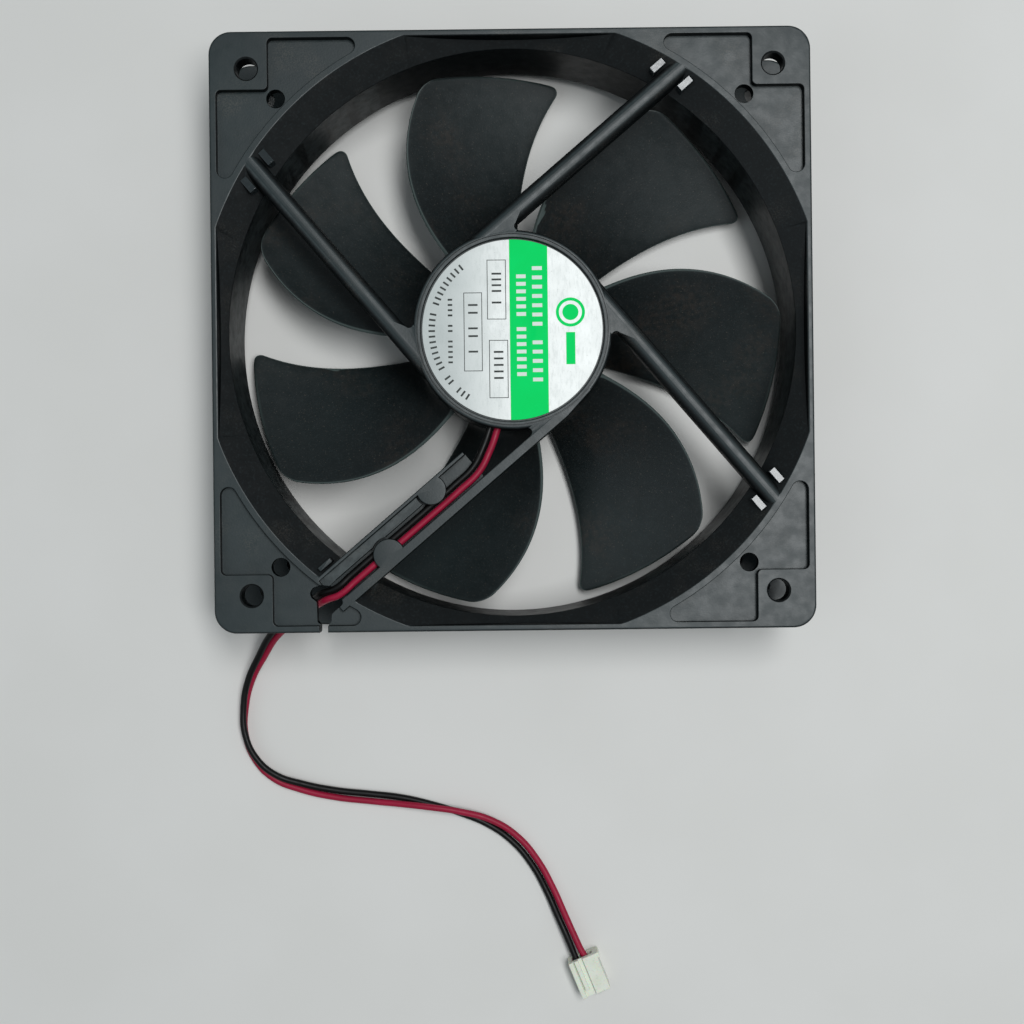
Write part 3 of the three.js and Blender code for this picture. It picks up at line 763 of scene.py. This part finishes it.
def plug_housing():
    """The plug's housing, with its wire end at x = 0 and its mating end towards +X."""
    length, half, height = PLUG_LENGTH, PLUG_HALF, PLUG_HEIGHT
    body = prism("body", rounded(rectangle(0, length, -half, half), 0.25), soft_levels(0, height, 0.2, 0.2))
    ear = rounded(rectangle(0, 1.1, 0, half + 0.5), EDGE)
    ear = prism("ear", ear, soft_levels(0.6, height - 0.1, 0.1, 0.1))
    entry = prism("entry", rectangle(-BEYOND, 1.6, -2.3, 2.3), CAVITY)
    cavities, windows, grooves = [], [], []
    for y in PLUG_SIDES:
        cavity = rectangle(-BEYOND, length + BEYOND, y - 1.05, y + 1.05)
        window = rectangle(length - 3.6, length - 1.6, y - 0.6, y + 0.6)
        cavities.append(prism("cavity", cavity, CAVITY))
        windows.append(prism("window", window, [(-BEYOND, 0), (2, 0)]))
    for sides in TOP_GROOVES:
        outline = rounded(rectangle(*sides), 0.1)
        grooves.append(prism("groove", outline, flared_levels(height - 0.8, height, 0.1)))
    return to_connector(cut(joined(body, ear), entry, *cavities, *grooves, *windows))


def terminal(side):
    """A crimp terminal: its barrel behind, and in front the box that takes the mating pin."""
    edge = 0.1
    box = prism("box", rounded(rectangle(4.6, 7.7, -0.75, 0.75), edge), soft_levels(1.7, 3.2, edge, edge))
    mouth = prism("mouth", rectangle(5.6, 8, -0.5, 0.5), [(2, 0), (2.9, 0)])
    barrel = prism("barrel", rounded(rectangle(3, 4.8, -0.6, 0.6), edge), soft_levels(1.9, 2.9, edge, edge))
    whole = joined(cut(box, mouth), barrel)
    return to_connector(placed(whole, shift(0, side * CONNECTOR_PITCH / 2)))


# ---- motor ----

CORE_Z = (9.5, 14.5)
CORE_MIDDLE = sum(CORE_Z) / 2
LAMINATIONS = 10
SHOE_R = (12.8, 14.4)  # inside and outside of the curved shoes
SHOE_ARC = 36.0  # degrees to each side of the arm
MAGNET_WIRE = 0.34  # diameter of the enamelled wire in the coils
COIL = (7.1, 11.2)  # a coil's span along its arm
RIB = (  # one turn of the wire: the share of its pitch, and the dip of the surface there
    (0.0, 0.17), (0.12, 0.08), (0.3, 0.015), (0.5, 0.0), (0.7, 0.015), (0.88, 0.08),
)


def ring(inner, outer, z0, z1, edge, segments=ROUND):
    """A ring with small chamfers on its edges."""
    return turned("ring", tube_profile(inner, outer, z0, z1, edge), segments)


def stator_core():
    """The steel stack, sheet by sheet: a ring round the bearing tube and four arms with curved shoes."""
    pitch = (CORE_Z[1] - CORE_Z[0]) / LAMINATIONS
    edge = 0.03
    low = CORE_Z[0]
    high = low + pitch - 0.02
    levels = [(low, -edge), (low + edge, 0), (high - edge, 0), (high, -edge)]
    shoe = arc((0, 0), SHOE_R[1], -SHOE_ARC, SHOE_ARC, 16) + arc((0, 0), SHOE_R[0], SHOE_ARC, -SHOE_ARC, 16)
    arm = rectangle(5.5, 13.2, -2, 2)
    poles = copies(joined(prism("shoe", shoe, levels), prism("arm", arm, levels)), QUARTERS)
    sheet = joined(turned("sheet", tube_profile(4.9, 6.6, low, high, edge), ROUND), *poles)
    sheets = copies(sheet, [0] * LAMINATIONS)
    return gathered([placed(sheet, shift(0, 0, k * pitch)) for k, sheet in enumerate(sheets)])


def winding(turn):
    """A coil round one arm, with a rib for each turn of its wire."""
    inner, outer = COIL
    turns = int((outer - inner) / MAGNET_WIRE)
    pitch = (outer - inner) / turns
    levels = [(inner + (k + share) * pitch, -dip) for k in range(turns) for share, dip in RIB]
    levels.append((outer, -RIB[0][1]))
    body = prism("winding", rounded(rectangle(-5, 5, -5, 5), 2, 6), levels)
    hole = prism("hole", rounded(rectangle(-3, 3, -3.9, 3.9), 0.4), [(inner - 1, 0), (outer + 1, 0)])
    lying = Matrix(((0, 0, 1, 0), (1, 0, 0, 0), (0, 1, 0, CORE_MIDDLE), (0, 0, 0, 1)))
    return placed(cut(body, hole), lying, turn_z(turn))


def rotor_yoke():
    """A drawn steel cup, open upwards, with a hole for the boss in its floor."""
    outer, inner, hole, bottom, top = 18.3, 17.3, 3.7, 4.2, 19.4
    wall = 0.8
    return turned("yoke", [
        (hole, bottom), *arc((outer - wall, bottom + wall), wall, 270, 360), (outer, top - 0.1),
        (outer - 0.1, top), (inner + 0.1, top), (inner, top - 0.1),
        *arc((inner - 0.4, bottom + wall + 0.4), 0.4, 0, -90), (hole, bottom + wall),
    ])


def shaft():
    """A ground pin with chamfered ends and the groove of the retaining clip."""
    r, groove, z0, z1 = 1.5, 1.1, 21.9, 22.6
    return turned("shaft", [
        (0, 4.3), (r - 0.15, 4.3), (r, 4.45), (r, z0), (groove, z0),
        (groove, z1), (r, z1), (r, 22.9), (r - 0.3, 23.2), (0, 23.2),
    ], ROUND)


def shaft_boss():
    """The stepped sleeve that holds the shaft in the impeller."""
    return turned("boss", [
        (1.6, 4.2), (3.2, 4.2), (3.3, 4.3), (3.3, 5.1), (3.2, 5.2), (2.75, 5.2),
        (2.6, 5.35), (2.6, 7.1), (2.5, 7.2), (1.7, 7.2), (1.6, 7.1),
    ], ROUND)


def retaining_clip():
    """A flat open ring that snaps into the shaft's groove."""
    gap = block((0, 4), (-0.6, 0.6), (21, 23))
    return cut(ring(1.2, 2.5, 22.0, 22.5, 0.08), gap)


BOARD_Z = (20.4, 21.4)
JOINT_R = 6.6  # distance of the solder joints from the axis


def circuit_board():
    """The round board, and the four solder joints on it."""
    z0, z1 = BOARD_Z
    board = ring(5.0, 17.4, z0, z1, 0.05, SMOOTH)
    foot = [(0, z1 - 0.1), (0.75, z1 - 0.1), (0.75, z1 + 0.02)]
    dome = turned("joint", [*foot, *arc((0, z1 - 0.4), 0.85, 30, 80), (0, z1 + 0.45)], 20)
    joints = copies(placed(dome, shift(JOINT_R, 0)), [20 + turn for turn in QUARTERS])
    return board, gathered(joints)


# ---- print on the label ----

BAND = (-0.5, 7.1)  # the green band runs right across the label between these x
BOXES = (  # x from and to, y from and to
    (-5.0, -1.2, 2.1, 14.0),
    (-4.7, -0.9, -13.6, -2.0),
    (-9.7, -6.0, -8.2, 7.5),
)
LINE = 0.14  # width of the lines round the boxes
THIN = 0.38  # widths of the strokes in black and in white
BOLD = 0.75
INK = 0.02  # how far the ink stands above the paper
PRINT_Z = SEAT_Z + 0.12  # ink is kept above this, so that none is left under the paper
EMBLEM_AT = (11.6, 3.4)
EMBLEM_BAR = (10.7, 12.5, -7.0, -0.6)


def through(outline):
    """A body on this outline that runs right through the label's upper face."""
    return prism("mark", outline, [(SEAT_Z, 0), (DEPTH, 0)])


def frame_line(x0, x1, y0, y1):
    """Four thin strokes round a rectangle."""
    low, high = y0 + LINE, y1 - LINE
    sides = ((x0, x1, high, y1), (x0, x1, y0, low), (x0, x0 + LINE, low, high), (x1 - LINE, x1, low, high))
    return [through(rectangle(*side)) for side in sides]


def strokes(x, y, words, height, pitch, width):
    """Plain strokes in place of a line of print that runs down the label. Words are counts of strokes."""
    marks = []
    for count in words:
        for _ in range(count):
            marks.append(through(rectangle(x - height / 2, x + height / 2, y - width, y)))
            y -= pitch
        y -= pitch
    return marks


def round_strokes(radius, start, words, height, step):
    """The same strokes along the label's edge, from an angle on."""
    marks, angle = [], start
    for count in words:
        for _ in range(count):
            mark = through(rectangle(radius - height / 2, radius + height / 2, -THIN / 2, THIN / 2))
            marks.append(placed(mark, turn_z(angle)))
            angle += step
        angle += step
    return marks


def printed(marks):
    """Ink on the label: the marks, as high above the paper as the ink is thick."""
    raised = placed(fan_label(), shift(0, 0, INK))
    above = prism("above", square(LABEL_R + 1, 1), [(PRINT_Z, 0), (DEPTH, 0)])
    return common(common(raised, above), gathered(marks))


def green_print():
    """The band across the label and an emblem of a ring and a bar."""
    disc = drum(1.6, SEAT_Z, DEPTH, ROUND)
    halo = ring(2.3, 2.9, SEAT_Z, DEPTH, 0.01)
    emblem = [placed(piece, shift(*EMBLEM_AT)) for piece in (disc, halo)]
    bar = through(rectangle(*EMBLEM_BAR))
    return printed([through(rectangle(*BAND, -LABEL_R - 1, LABEL_R + 1)), *emblem, bar])


def black_print():
    """Three boxes, and the strokes in them, to the left of them and along the label's edge."""
    lines = [mark for box in BOXES for mark in frame_line(*box)]
    words = [
        *strokes(-3.1, 11.4, (4, 1), 1.9, 1.15, THIN),
        *strokes(-2.8, -4.2, (5,), 1.9, 1.3, THIN),
        *strokes(-7.85, 5.2, (2, 2, 1), 1.9, 1.55, THIN),
        *strokes(-12.4, 6.3, (4, 2, 5), 0.9, 1.04, THIN),
        *round_strokes(16.1, 129, (9, 11, 2, 3), 1.3, 3.95),
    ]
    return printed(lines + words)


def white_print():
    """Two lines of broad strokes on the green band."""
    upper = strokes(5.0, 12.6, (7, 5), 2.0, 1.85, BOLD)
    lower = strokes(1.8, 11, (6, 7), 1.9, 1.5, BOLD)
    return placed(printed([*upper, *lower]), shift(0, 0, INK))


# ---- materials ----


def srgb(code):
    """A colour for a shader, from its sRGB hex code."""
    channels = ((code >> bits & 255) / 255 for bits in (16, 8, 0))
    return (*(c / 12.92 if c <= 0.04045 else ((c + 0.055) / 1.055) ** 2.4 for c in channels), 1.0)


class Finish:
    """A material under construction: its nodes and short ways to add to them. Sizes are in mm."""

    def __init__(self, name, colour, roughness, metallic=0.0):
        self.material = bpy.data.materials.new(name)
        self.material.use_nodes = True
        self.nodes = self.material.node_tree.nodes
        self.shader = self.nodes["Principled BSDF"]
        self.set("Base Color", srgb(colour))
        self.set("Roughness", roughness)
        self.set("Metallic", metallic)
        self.colour = srgb(colour)
        self.normal = None
        self.place = self.nodes.new("ShaderNodeTexCoord").outputs["Object"]

    def set(self, name, value):
        self.shader.inputs[name].default_value = value

    def link(self, output, socket):
        self.material.node_tree.links.new(output, socket)

    def put(self, value, socket):
        """Feeds a socket from another one, or sets it to a value."""
        if isinstance(value, bpy.types.NodeSocket):
            self.link(value, socket)
        else:
            socket.default_value = value

    def ranged(self, value, low, high, first=0.0, last=1.0):
        """A value that passes smoothly from first to last while another goes from low to high."""
        node = self.nodes.new("ShaderNodeMapRange")
        node.interpolation_type = "SMOOTHSTEP"
        for name, given in (("From Min", low), ("From Max", high), ("To Min", first), ("To Max", last)):
            node.inputs[name].default_value = given
        self.link(value, node.inputs["Value"])
        return node.outputs["Result"]

    def noise(self, size, low=0.0, high=1.0, detail=3.0, stretch=(1, 1, 1), first=0.0, last=1.0):
        """Noise with spots of this size, spread over a range."""
        place = self.nodes.new("ShaderNodeMapping")
        place.inputs["Scale"].default_value = stretch
        node = self.nodes.new("ShaderNodeTexNoise")
        node.inputs["Scale"].default_value = 1 / (size * MM)
        node.inputs["Detail"].default_value = detail
        self.link(self.place, place.inputs["Vector"])
        self.link(place.outputs["Vector"], node.inputs["Vector"])
        return self.ranged(node.outputs["Fac"], low, high, first, last)

    def times(self, *factors):
        """The product of sockets and numbers."""
        whole = factors[0]
        for factor in factors[1:]:
            node = self.nodes.new("ShaderNodeMath")
            node.operation = "MULTIPLY"
            self.put(whole, node.inputs[0])
            self.put(factor, node.inputs[1])
            whole = node.outputs["Value"]
        return whole

    def edges(self, low, high):
        """Where the surface has a sharp convex edge."""
        return self.ranged(self.nodes.new("ShaderNodeNewGeometry").outputs["Pointiness"], low, high)

    def upward(self, low, high, first=0.0, last=1.0):
        """Where the surface faces up: the range of its normal's z over which this sets in."""
        split = self.nodes.new("ShaderNodeSeparateXYZ")
        self.link(self.nodes.new("ShaderNodeNewGeometry").outputs["Normal"], split.inputs["Vector"])
        return self.ranged(split.outputs["Z"], low, high, first, last)

    def tint(self, factor, code):
        """Mixes another colour in by a factor."""
        node = self.nodes.new("ShaderNodeMix")
        node.data_type = "RGBA"
        factor_in, first, second = node.inputs[0], node.inputs[6], node.inputs[7]
        self.put(factor, factor_in)
        self.put(self.colour, first)
        second.default_value = srgb(code)
        self.colour = node.outputs[2]
        self.link(self.colour, self.shader.inputs["Base Color"])
        return self

    def mottle(self, code, share, *spots, **more):
        """Mixes up to this share of another colour in, in spots that noise() describes."""
        return self.tint(self.times(self.noise(*spots, **more), share), code)

    def rough(self, value):
        self.link(value, self.shader.inputs["Roughness"])
        return self

    def bump(self, height, depth, strength):
        """Relief of this depth at most, on top of the relief there is."""
        node = self.nodes.new("ShaderNodeBump")
        node.inputs["Strength"].default_value = strength
        node.inputs["Distance"].default_value = depth * MM
        self.link(height, node.inputs["Height"])
        if self.normal:
            self.link(self.normal, node.inputs["Normal"])
        self.normal = node.outputs["Normal"]
        self.link(self.normal, self.shader.inputs["Normal"])
        return self


def moulded(name, colour, pale, roughness):
    """Black glass-filled plastic: a fine sparked grain, and painted light: a paler colour where it faces
    up.
    """
    finish = Finish(name, colour, roughness)
    # painted light: faces that look up get the paler colour, as if lit more than the steeper faces
    finish.tint(finish.upward(0.8, 0.97), pale)
    finish.mottle(0x0B0F10, 0.25, 22, 0.3, 0.7)
    finish.mottle(0x2A3436, 0.3, 0.5, 0.5, 0.75)
    finish.rough(finish.noise(2.5, 0.25, 0.75, first=roughness - 0.04, last=roughness + 0.06))
    finish.bump(finish.noise(0.35, detail=4.0), 0.02, 0.5)
    return finish


def frame_finish():
    """The frame's upward faces glare a little more and are paler, which is painted light; its edges are
    paler, partly as scuffs and partly as a painted highlight, and it has a film of dust.
    """
    # the third colour is painted light: the paler tone of the frame's upward faces
    finish = moulded("frame_plastic", 0x090D0E, 0x202C2E, 0.42)
    finish.link(finish.upward(0.1, 0.8, 0.1, 0.45), finish.shader.inputs["Specular IOR Level"])
    # paler sharp edges: partly scuffs, and partly a painted highlight along the edges
    finish.tint(finish.times(finish.edges(0.55, 0.7), finish.noise(1.5, 0.2, 0.7), 0.4), 0x50595A)
    patches = finish.noise(9, 0.5, 0.75)
    specks = finish.noise(0.25, 0.45, 0.6)
    return finish.tint(finish.times(finish.upward(0.2, 0.9), patches, specks, 0.12), 0x7D7468).material


def pad_finish():
    """The polished pads beside the struts, which glare where the lamp is mirrored in them."""
    finish = Finish("pad_plastic", 0x2A3032, 0.16)
    finish.mottle(0x3A4244, 0.4, 0.6, 0.5, 0.7)
    finish.rough(finish.noise(0.8, 0.3, 0.7, first=0.1, last=0.16))
    return finish.bump(finish.noise(0.5), 0.01, 0.08).material


def blade_finish():
    """The blades have pale edges, and brown stains and specks of dust."""
    # the third colour is painted light: the paler tone of the blades' upward faces
    finish = moulded("impeller_plastic", 0x0E1516, 0x172223, 0.42)
    stains = finish.times(finish.noise(16, 0.5, 0.75), finish.noise(1.2, 0.3, 0.7), 0.1)
    specks = finish.times(finish.noise(0.3, 0.64, 0.72), 0.2)
    finish.tint(stains, 0x6B5546).tint(specks, 0x84796C)
    return finish.tint(finish.times(finish.edges(0.505, 0.55), 0.8), 0x4E5A58).material


def paper_finish():
    """Coated paper, tinted greyer towards its left edge as painted shade, with fibres that show through."""
    finish = Finish("label_paper", 0xFAFDFA, 0.42)
    split = finish.nodes.new("ShaderNodeSeparateXYZ")
    finish.link(finish.place, split.inputs["Vector"])
    # painted shade: the paper turns greyer towards its left edge, where less of the lamp's light falls
    finish.tint(finish.ranged(split.outputs["X"], 4 * MM, -16 * MM, 0, 0.8), 0xA4ADAC)
    finish.mottle(0xC4CBC8, 0.3, 0.4, 0.45, 0.7, stretch=(1, 0.25, 1))
    finish.mottle(0x8E928E, 0.3, 0.3, 0.62, 0.72)
    finish.rough(finish.noise(4, 0.3, 0.7, first=0.35, last=0.55))
    return finish.bump(finish.noise(1.4), 0.03, 0.35).material


def ink_finish(name, colour, worn):
    """Matt printing ink, a little uneven."""
    finish = Finish(name, colour, 0.55)
    finish.tint(finish.noise(8, 0.3, 0.8, last=0.4), worn)
    finish.mottle(worn, 0.4, 0.4, 0.6, 0.75)
    finish.set("Specular IOR Level", 0.06)
    return finish.bump(finish.noise(1.4), 0.03, 0.3).material


def insulation(name, colour, worn):
    """Soft PVC: dull, a little scuffed, and slightly uneven along the wire."""
    finish = Finish(name, colour, 0.5)
    finish.tint(finish.noise(6, 0.35, 0.7, last=0.5), worn)
    finish.mottle(worn, 0.4, 0.6, 0.6, 0.72)
    finish.rough(finish.noise(1.5, 0.3, 0.7, first=0.38, last=0.52))
    finish.set("Specular IOR Level", 0.25)
    return finish.bump(finish.noise(0.8), 0.04, 0.4).material


def nylon_finish():
    """Off-white, slightly translucent nylon."""
    finish = Finish("plug_nylon", 0xE4E8DA, 0.42)
    finish.tint(finish.noise(4, 0.35, 0.7, last=0.5), 0xD6DAC6)
    finish.mottle(0xB4B09C, 0.3, 0.5, 0.6, 0.72)
    finish.set("Subsurface Weight", 0.2)
    finish.set("Subsurface Scale", 0.6 * MM)
    return finish.bump(finish.noise(0.5, detail=4.0), 0.02, 0.4).material


def metal_finish(name, colour, roughness, grain=(1, 1, 1), dull=0x6E6A64):
    """Metal with fine tool marks along the grain and a few dull spots."""
    finish = Finish(name, colour, roughness, 1.0)
    finish.tint(finish.noise(2.5, 0.4, 0.75, last=0.4), dull)
    finish.rough(finish.noise(0.8, 0.3, 0.7, stretch=grain, first=roughness - 0.08, last=roughness + 0.12))
    return finish.bump(finish.noise(0.3, stretch=grain), 0.01, 0.3).material


def plain_finish(name, colour, worn, roughness):
    """A dull material with mottled colour and a fine grain."""
    finish = Finish(name, colour, roughness)
    finish.tint(finish.noise(3, 0.35, 0.7, last=0.5), worn)
    finish.mottle(worn, 0.4, 0.4, 0.5, 0.7)
    finish.rough(finish.noise(1.5, 0.3, 0.7, first=roughness - 0.06, last=roughness + 0.08))
    return finish.bump(finish.noise(0.4, detail=4.0), 0.02, 0.5).material


# ---- stage ----

FLOOR_HALF = 2500.0
SKY = (0.86, 0.95, 1.0)


def camera():
    """Looks straight down at the fan, a little turned."""
    data = bpy.data.cameras.new("camera")
    data.lens = CAMERA_LENS
    data.clip_start = 0.01
    obj = bpy.data.objects.new("camera", data)
    obj.location = metres(CAMERA_AT)
    obj.rotation_euler = (0, 0, math.radians(CAMERA_ROLL))
    bpy.context.scene.collection.objects.link(obj)
    bpy.context.scene.camera = obj


def floor():
    """A plain pale floor, just under the fan."""
    corners = rectangle(-FLOOR_HALF, FLOOR_HALF, -FLOOR_HALF, FLOOR_HALF)
    plane = object_of("floor", [(x, y, -0.1) for x, y in corners], [(0, 1, 2, 3)])
    finish = Finish("floor_paint", 0xDCDBD8, 0.6)
    finish.tint(finish.noise(40, 0.3, 0.7, last=0.5), 0xD6D5D1)
    plane.data.materials.append(finish.material)


def lamp(name, at, size, power, colour):
    """A rectangular soft light at a place in mm, facing the fan."""
    data = bpy.data.lights.new(name, "AREA")
    data.shape = "RECTANGLE"
    data.size, data.size_y = size[0] * MM, size[1] * MM
    data.energy = power
    data.color = colour
    obj = bpy.data.objects.new(name, data)
    obj.location = metres(at)
    obj.rotation_euler = (-obj.location).to_track_quat("-Z", "X").to_euler()
    bpy.context.scene.collection.objects.link(obj)


def lights():
    """A dim pale sky, a long lamp above the right-hand side and a weak one from the left."""
    world = bpy.data.worlds.new("studio")
    world.use_nodes = True
    sky = world.node_tree.nodes["Background"]
    sky.inputs["Color"].default_value = (*SKY, 1.0)
    sky.inputs["Strength"].default_value = 0.2
    bpy.context.scene.world = world
    bpy.context.scene.view_settings.view_transform = "Standard"
    lamp("key", (230, 80, 1000), (260, 660), 7.4, (0.97, 0.99, 1.0))
    lamp("fill", (-700, -200, 800), (700, 700), 0.8, (0.85, 0.95, 1.0))


# ---- assembly ----


SHARP_ANGLE = math.radians(35)  # edges sharper than this stay sharp


def finished(obj, name, body, material, nodes=()):
    """Names a fine mesh, shades it smooth, and puts it in the place of its CAD nodes."""
    obj.name = name
    obj.data.name = name
    obj.data.materials.clear()
    obj.data.materials.append(material)
    obj.data.shade_smooth()
    obj.data.set_sharp_from_angle(angle=SHARP_ANGLE)
    normals = obj.modifiers.new("normals", "WEIGHTED_NORMAL")
    normals.keep_sharp = True
    normals.weight = 100
    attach(obj, body)
    if nodes:
        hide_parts(*nodes)
    return obj


def kept(node, material, edge=0.12):
    """A CAD node that keeps its shape and gets a finish and softer edges."""
    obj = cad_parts[node]
    obj.data.materials.clear()
    obj.data.materials.append(material)
    modifier = obj.modifiers.new("edges", "BEVEL")
    modifier.width = edge * MM
    modifier.segments = 2
    modifier.limit_method = "ANGLE"
    modifier.angle_limit = math.radians(40)


def add_lead():
    """The plug and the two wires, which are free cords."""
    nylon = nylon_finish()
    tin = metal_finish("terminal_tin", 0xC4C6C6, 0.3)
    plug = finished(plug_housing(), "plug", "housing", nylon, ["connector_housing"])
    for side, colour, code, worn in ((-1, "red", 0x9C1A3A, 0x86142E), (1, "black", 0x060606, 0x0C0B0B)):
        pin = terminal(-side)
        finished(pin, f"pin_{colour}", "housing", tin, [f"terminal_{colour}"])
        cord = wire(f"wire_{colour}", side)
        cord.data.materials.append(insulation(f"{colour}_insulation", code, worn))
        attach(cord, "housing")
        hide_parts(f"lead_{colour}")


def add_outside():
    """The two mouldings, the polished pads and the printed label."""
    finished(fan_frame(), "fan_frame", "housing", frame_finish(), ["frame"])
    finished(strut_pads(), "strut_pads", "housing", pad_finish())
    finished(fan_impeller(), "fan_impeller", "rotor", blade_finish(), ["impeller"])
    finished(fan_label(), "label_paper", "housing", paper_finish(), ["label"])
    finished(green_print(), "label_green", "housing", ink_finish("green_ink", 0x00DC66, 0x00EA78))
    finished(black_print(), "label_black", "housing", ink_finish("black_ink", 0x3A3E3D, 0x666B68))
    finished(white_print(), "label_white", "housing", ink_finish("white_ink", 0xE8F0EA, 0xC9DCCF))


def add_rotor_inside():
    """What turns inside the impeller's hub."""
    steel = metal_finish("yoke_steel", 0xA9A9A6, 0.35)
    ground = metal_finish("shaft_steel", 0xC2C3C3, 0.18, (1, 1, 12))
    brass = metal_finish("boss_brass", 0xC39A45, 0.3, dull=0x8A6B33)
    ferrite = plain_finish("ferrite", 0x35322F, 0x45413D, 0.7)
    finished(rotor_yoke(), "yoke", "rotor", steel, ["rotor_yoke"])
    finished(ring(14.9, 17.1, 6, 17.8, 0.3, SMOOTH), "magnet", "rotor", ferrite, ["ring_magnet"])
    finished(shaft_boss(), "boss", "rotor", brass, ["shaft_boss"])
    finished(shaft(), "rotor_shaft", "rotor", ground, ["shaft"])
    spring = metal_finish("clip_steel", 0x8F9194, 0.3)
    finished(retaining_clip(), "clip", "rotor", spring, ["retaining_clip"])


def add_stator():
    """The stack with its formers and coils, and the circuit board with its parts."""
    core = metal_finish("core_steel", 0x8A8B8C, 0.45)
    copper = metal_finish("enamelled_copper", 0xB4622F, 0.28, dull=0x8A3E1C)
    former = plain_finish("former_nylon", 0xD6D0C0, 0xBFB7A2, 0.55)
    finished(stator_core(), "core", "housing", core, ["stator_core"])
    for k, turn in enumerate(QUARTERS, start=1):
        finished(winding(turn), f"winding_{k}", "housing", copper, [f"coil_{k}"])
    kept("upper_winding_former", former)
    kept("lower_winding_former", former)
    board, joints = circuit_board()
    mask = plain_finish("board_green", 0x1F6135, 0x2A7442, 0.4)
    finished(board, "board", "housing", mask, ["circuit_board"])
    finished(joints, "solder_joints", "housing", metal_finish("solder", 0xBFC1C0, 0.25))
    chip = plain_finish("chip_black", 0x161719, 0x232426, 0.5)
    for node in ("hall_sensor", "driver_chip", "protection_diode"):
        kept(node, chip)
    kept("capacitor", plain_finish("capacitor_ceramic", 0xB08A5C, 0x9A7447, 0.5))


def add_bearing():
    """The sleeve bearing and what lies round it in the bearing tube."""
    bronze = metal_finish("bush_bronze", 0x9C6E42, 0.5, dull=0x6B4A2C)
    sleeve = ring(1.6, 3.4, 8.6, 21.2, 0.3)
    finished(sleeve, "bearing", "housing", bronze, ["sleeve_bearing"])
    kept("oil_felt", plain_finish("oil_felt", 0x8A8272, 0x5F594C, 0.9), 0.05)
    kept("thrust_washer", plain_finish("washer_nylon", 0xD9D5C9, 0xC2BDAE, 0.5), 0.05)
    kept("bearing_cap", plain_finish("cap_rubber", 0x1B1B1B, 0x2A2A2A, 0.75))


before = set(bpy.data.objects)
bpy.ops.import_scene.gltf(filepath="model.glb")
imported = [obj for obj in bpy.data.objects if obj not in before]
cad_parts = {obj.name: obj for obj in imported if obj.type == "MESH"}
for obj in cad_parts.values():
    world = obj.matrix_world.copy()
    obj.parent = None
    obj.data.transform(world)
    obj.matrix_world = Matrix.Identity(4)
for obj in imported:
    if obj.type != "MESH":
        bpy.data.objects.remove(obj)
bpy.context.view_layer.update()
camera()
add_lead()
add_outside()
add_rotor_inside()
add_stator()
add_bearing()
floor()
lights()
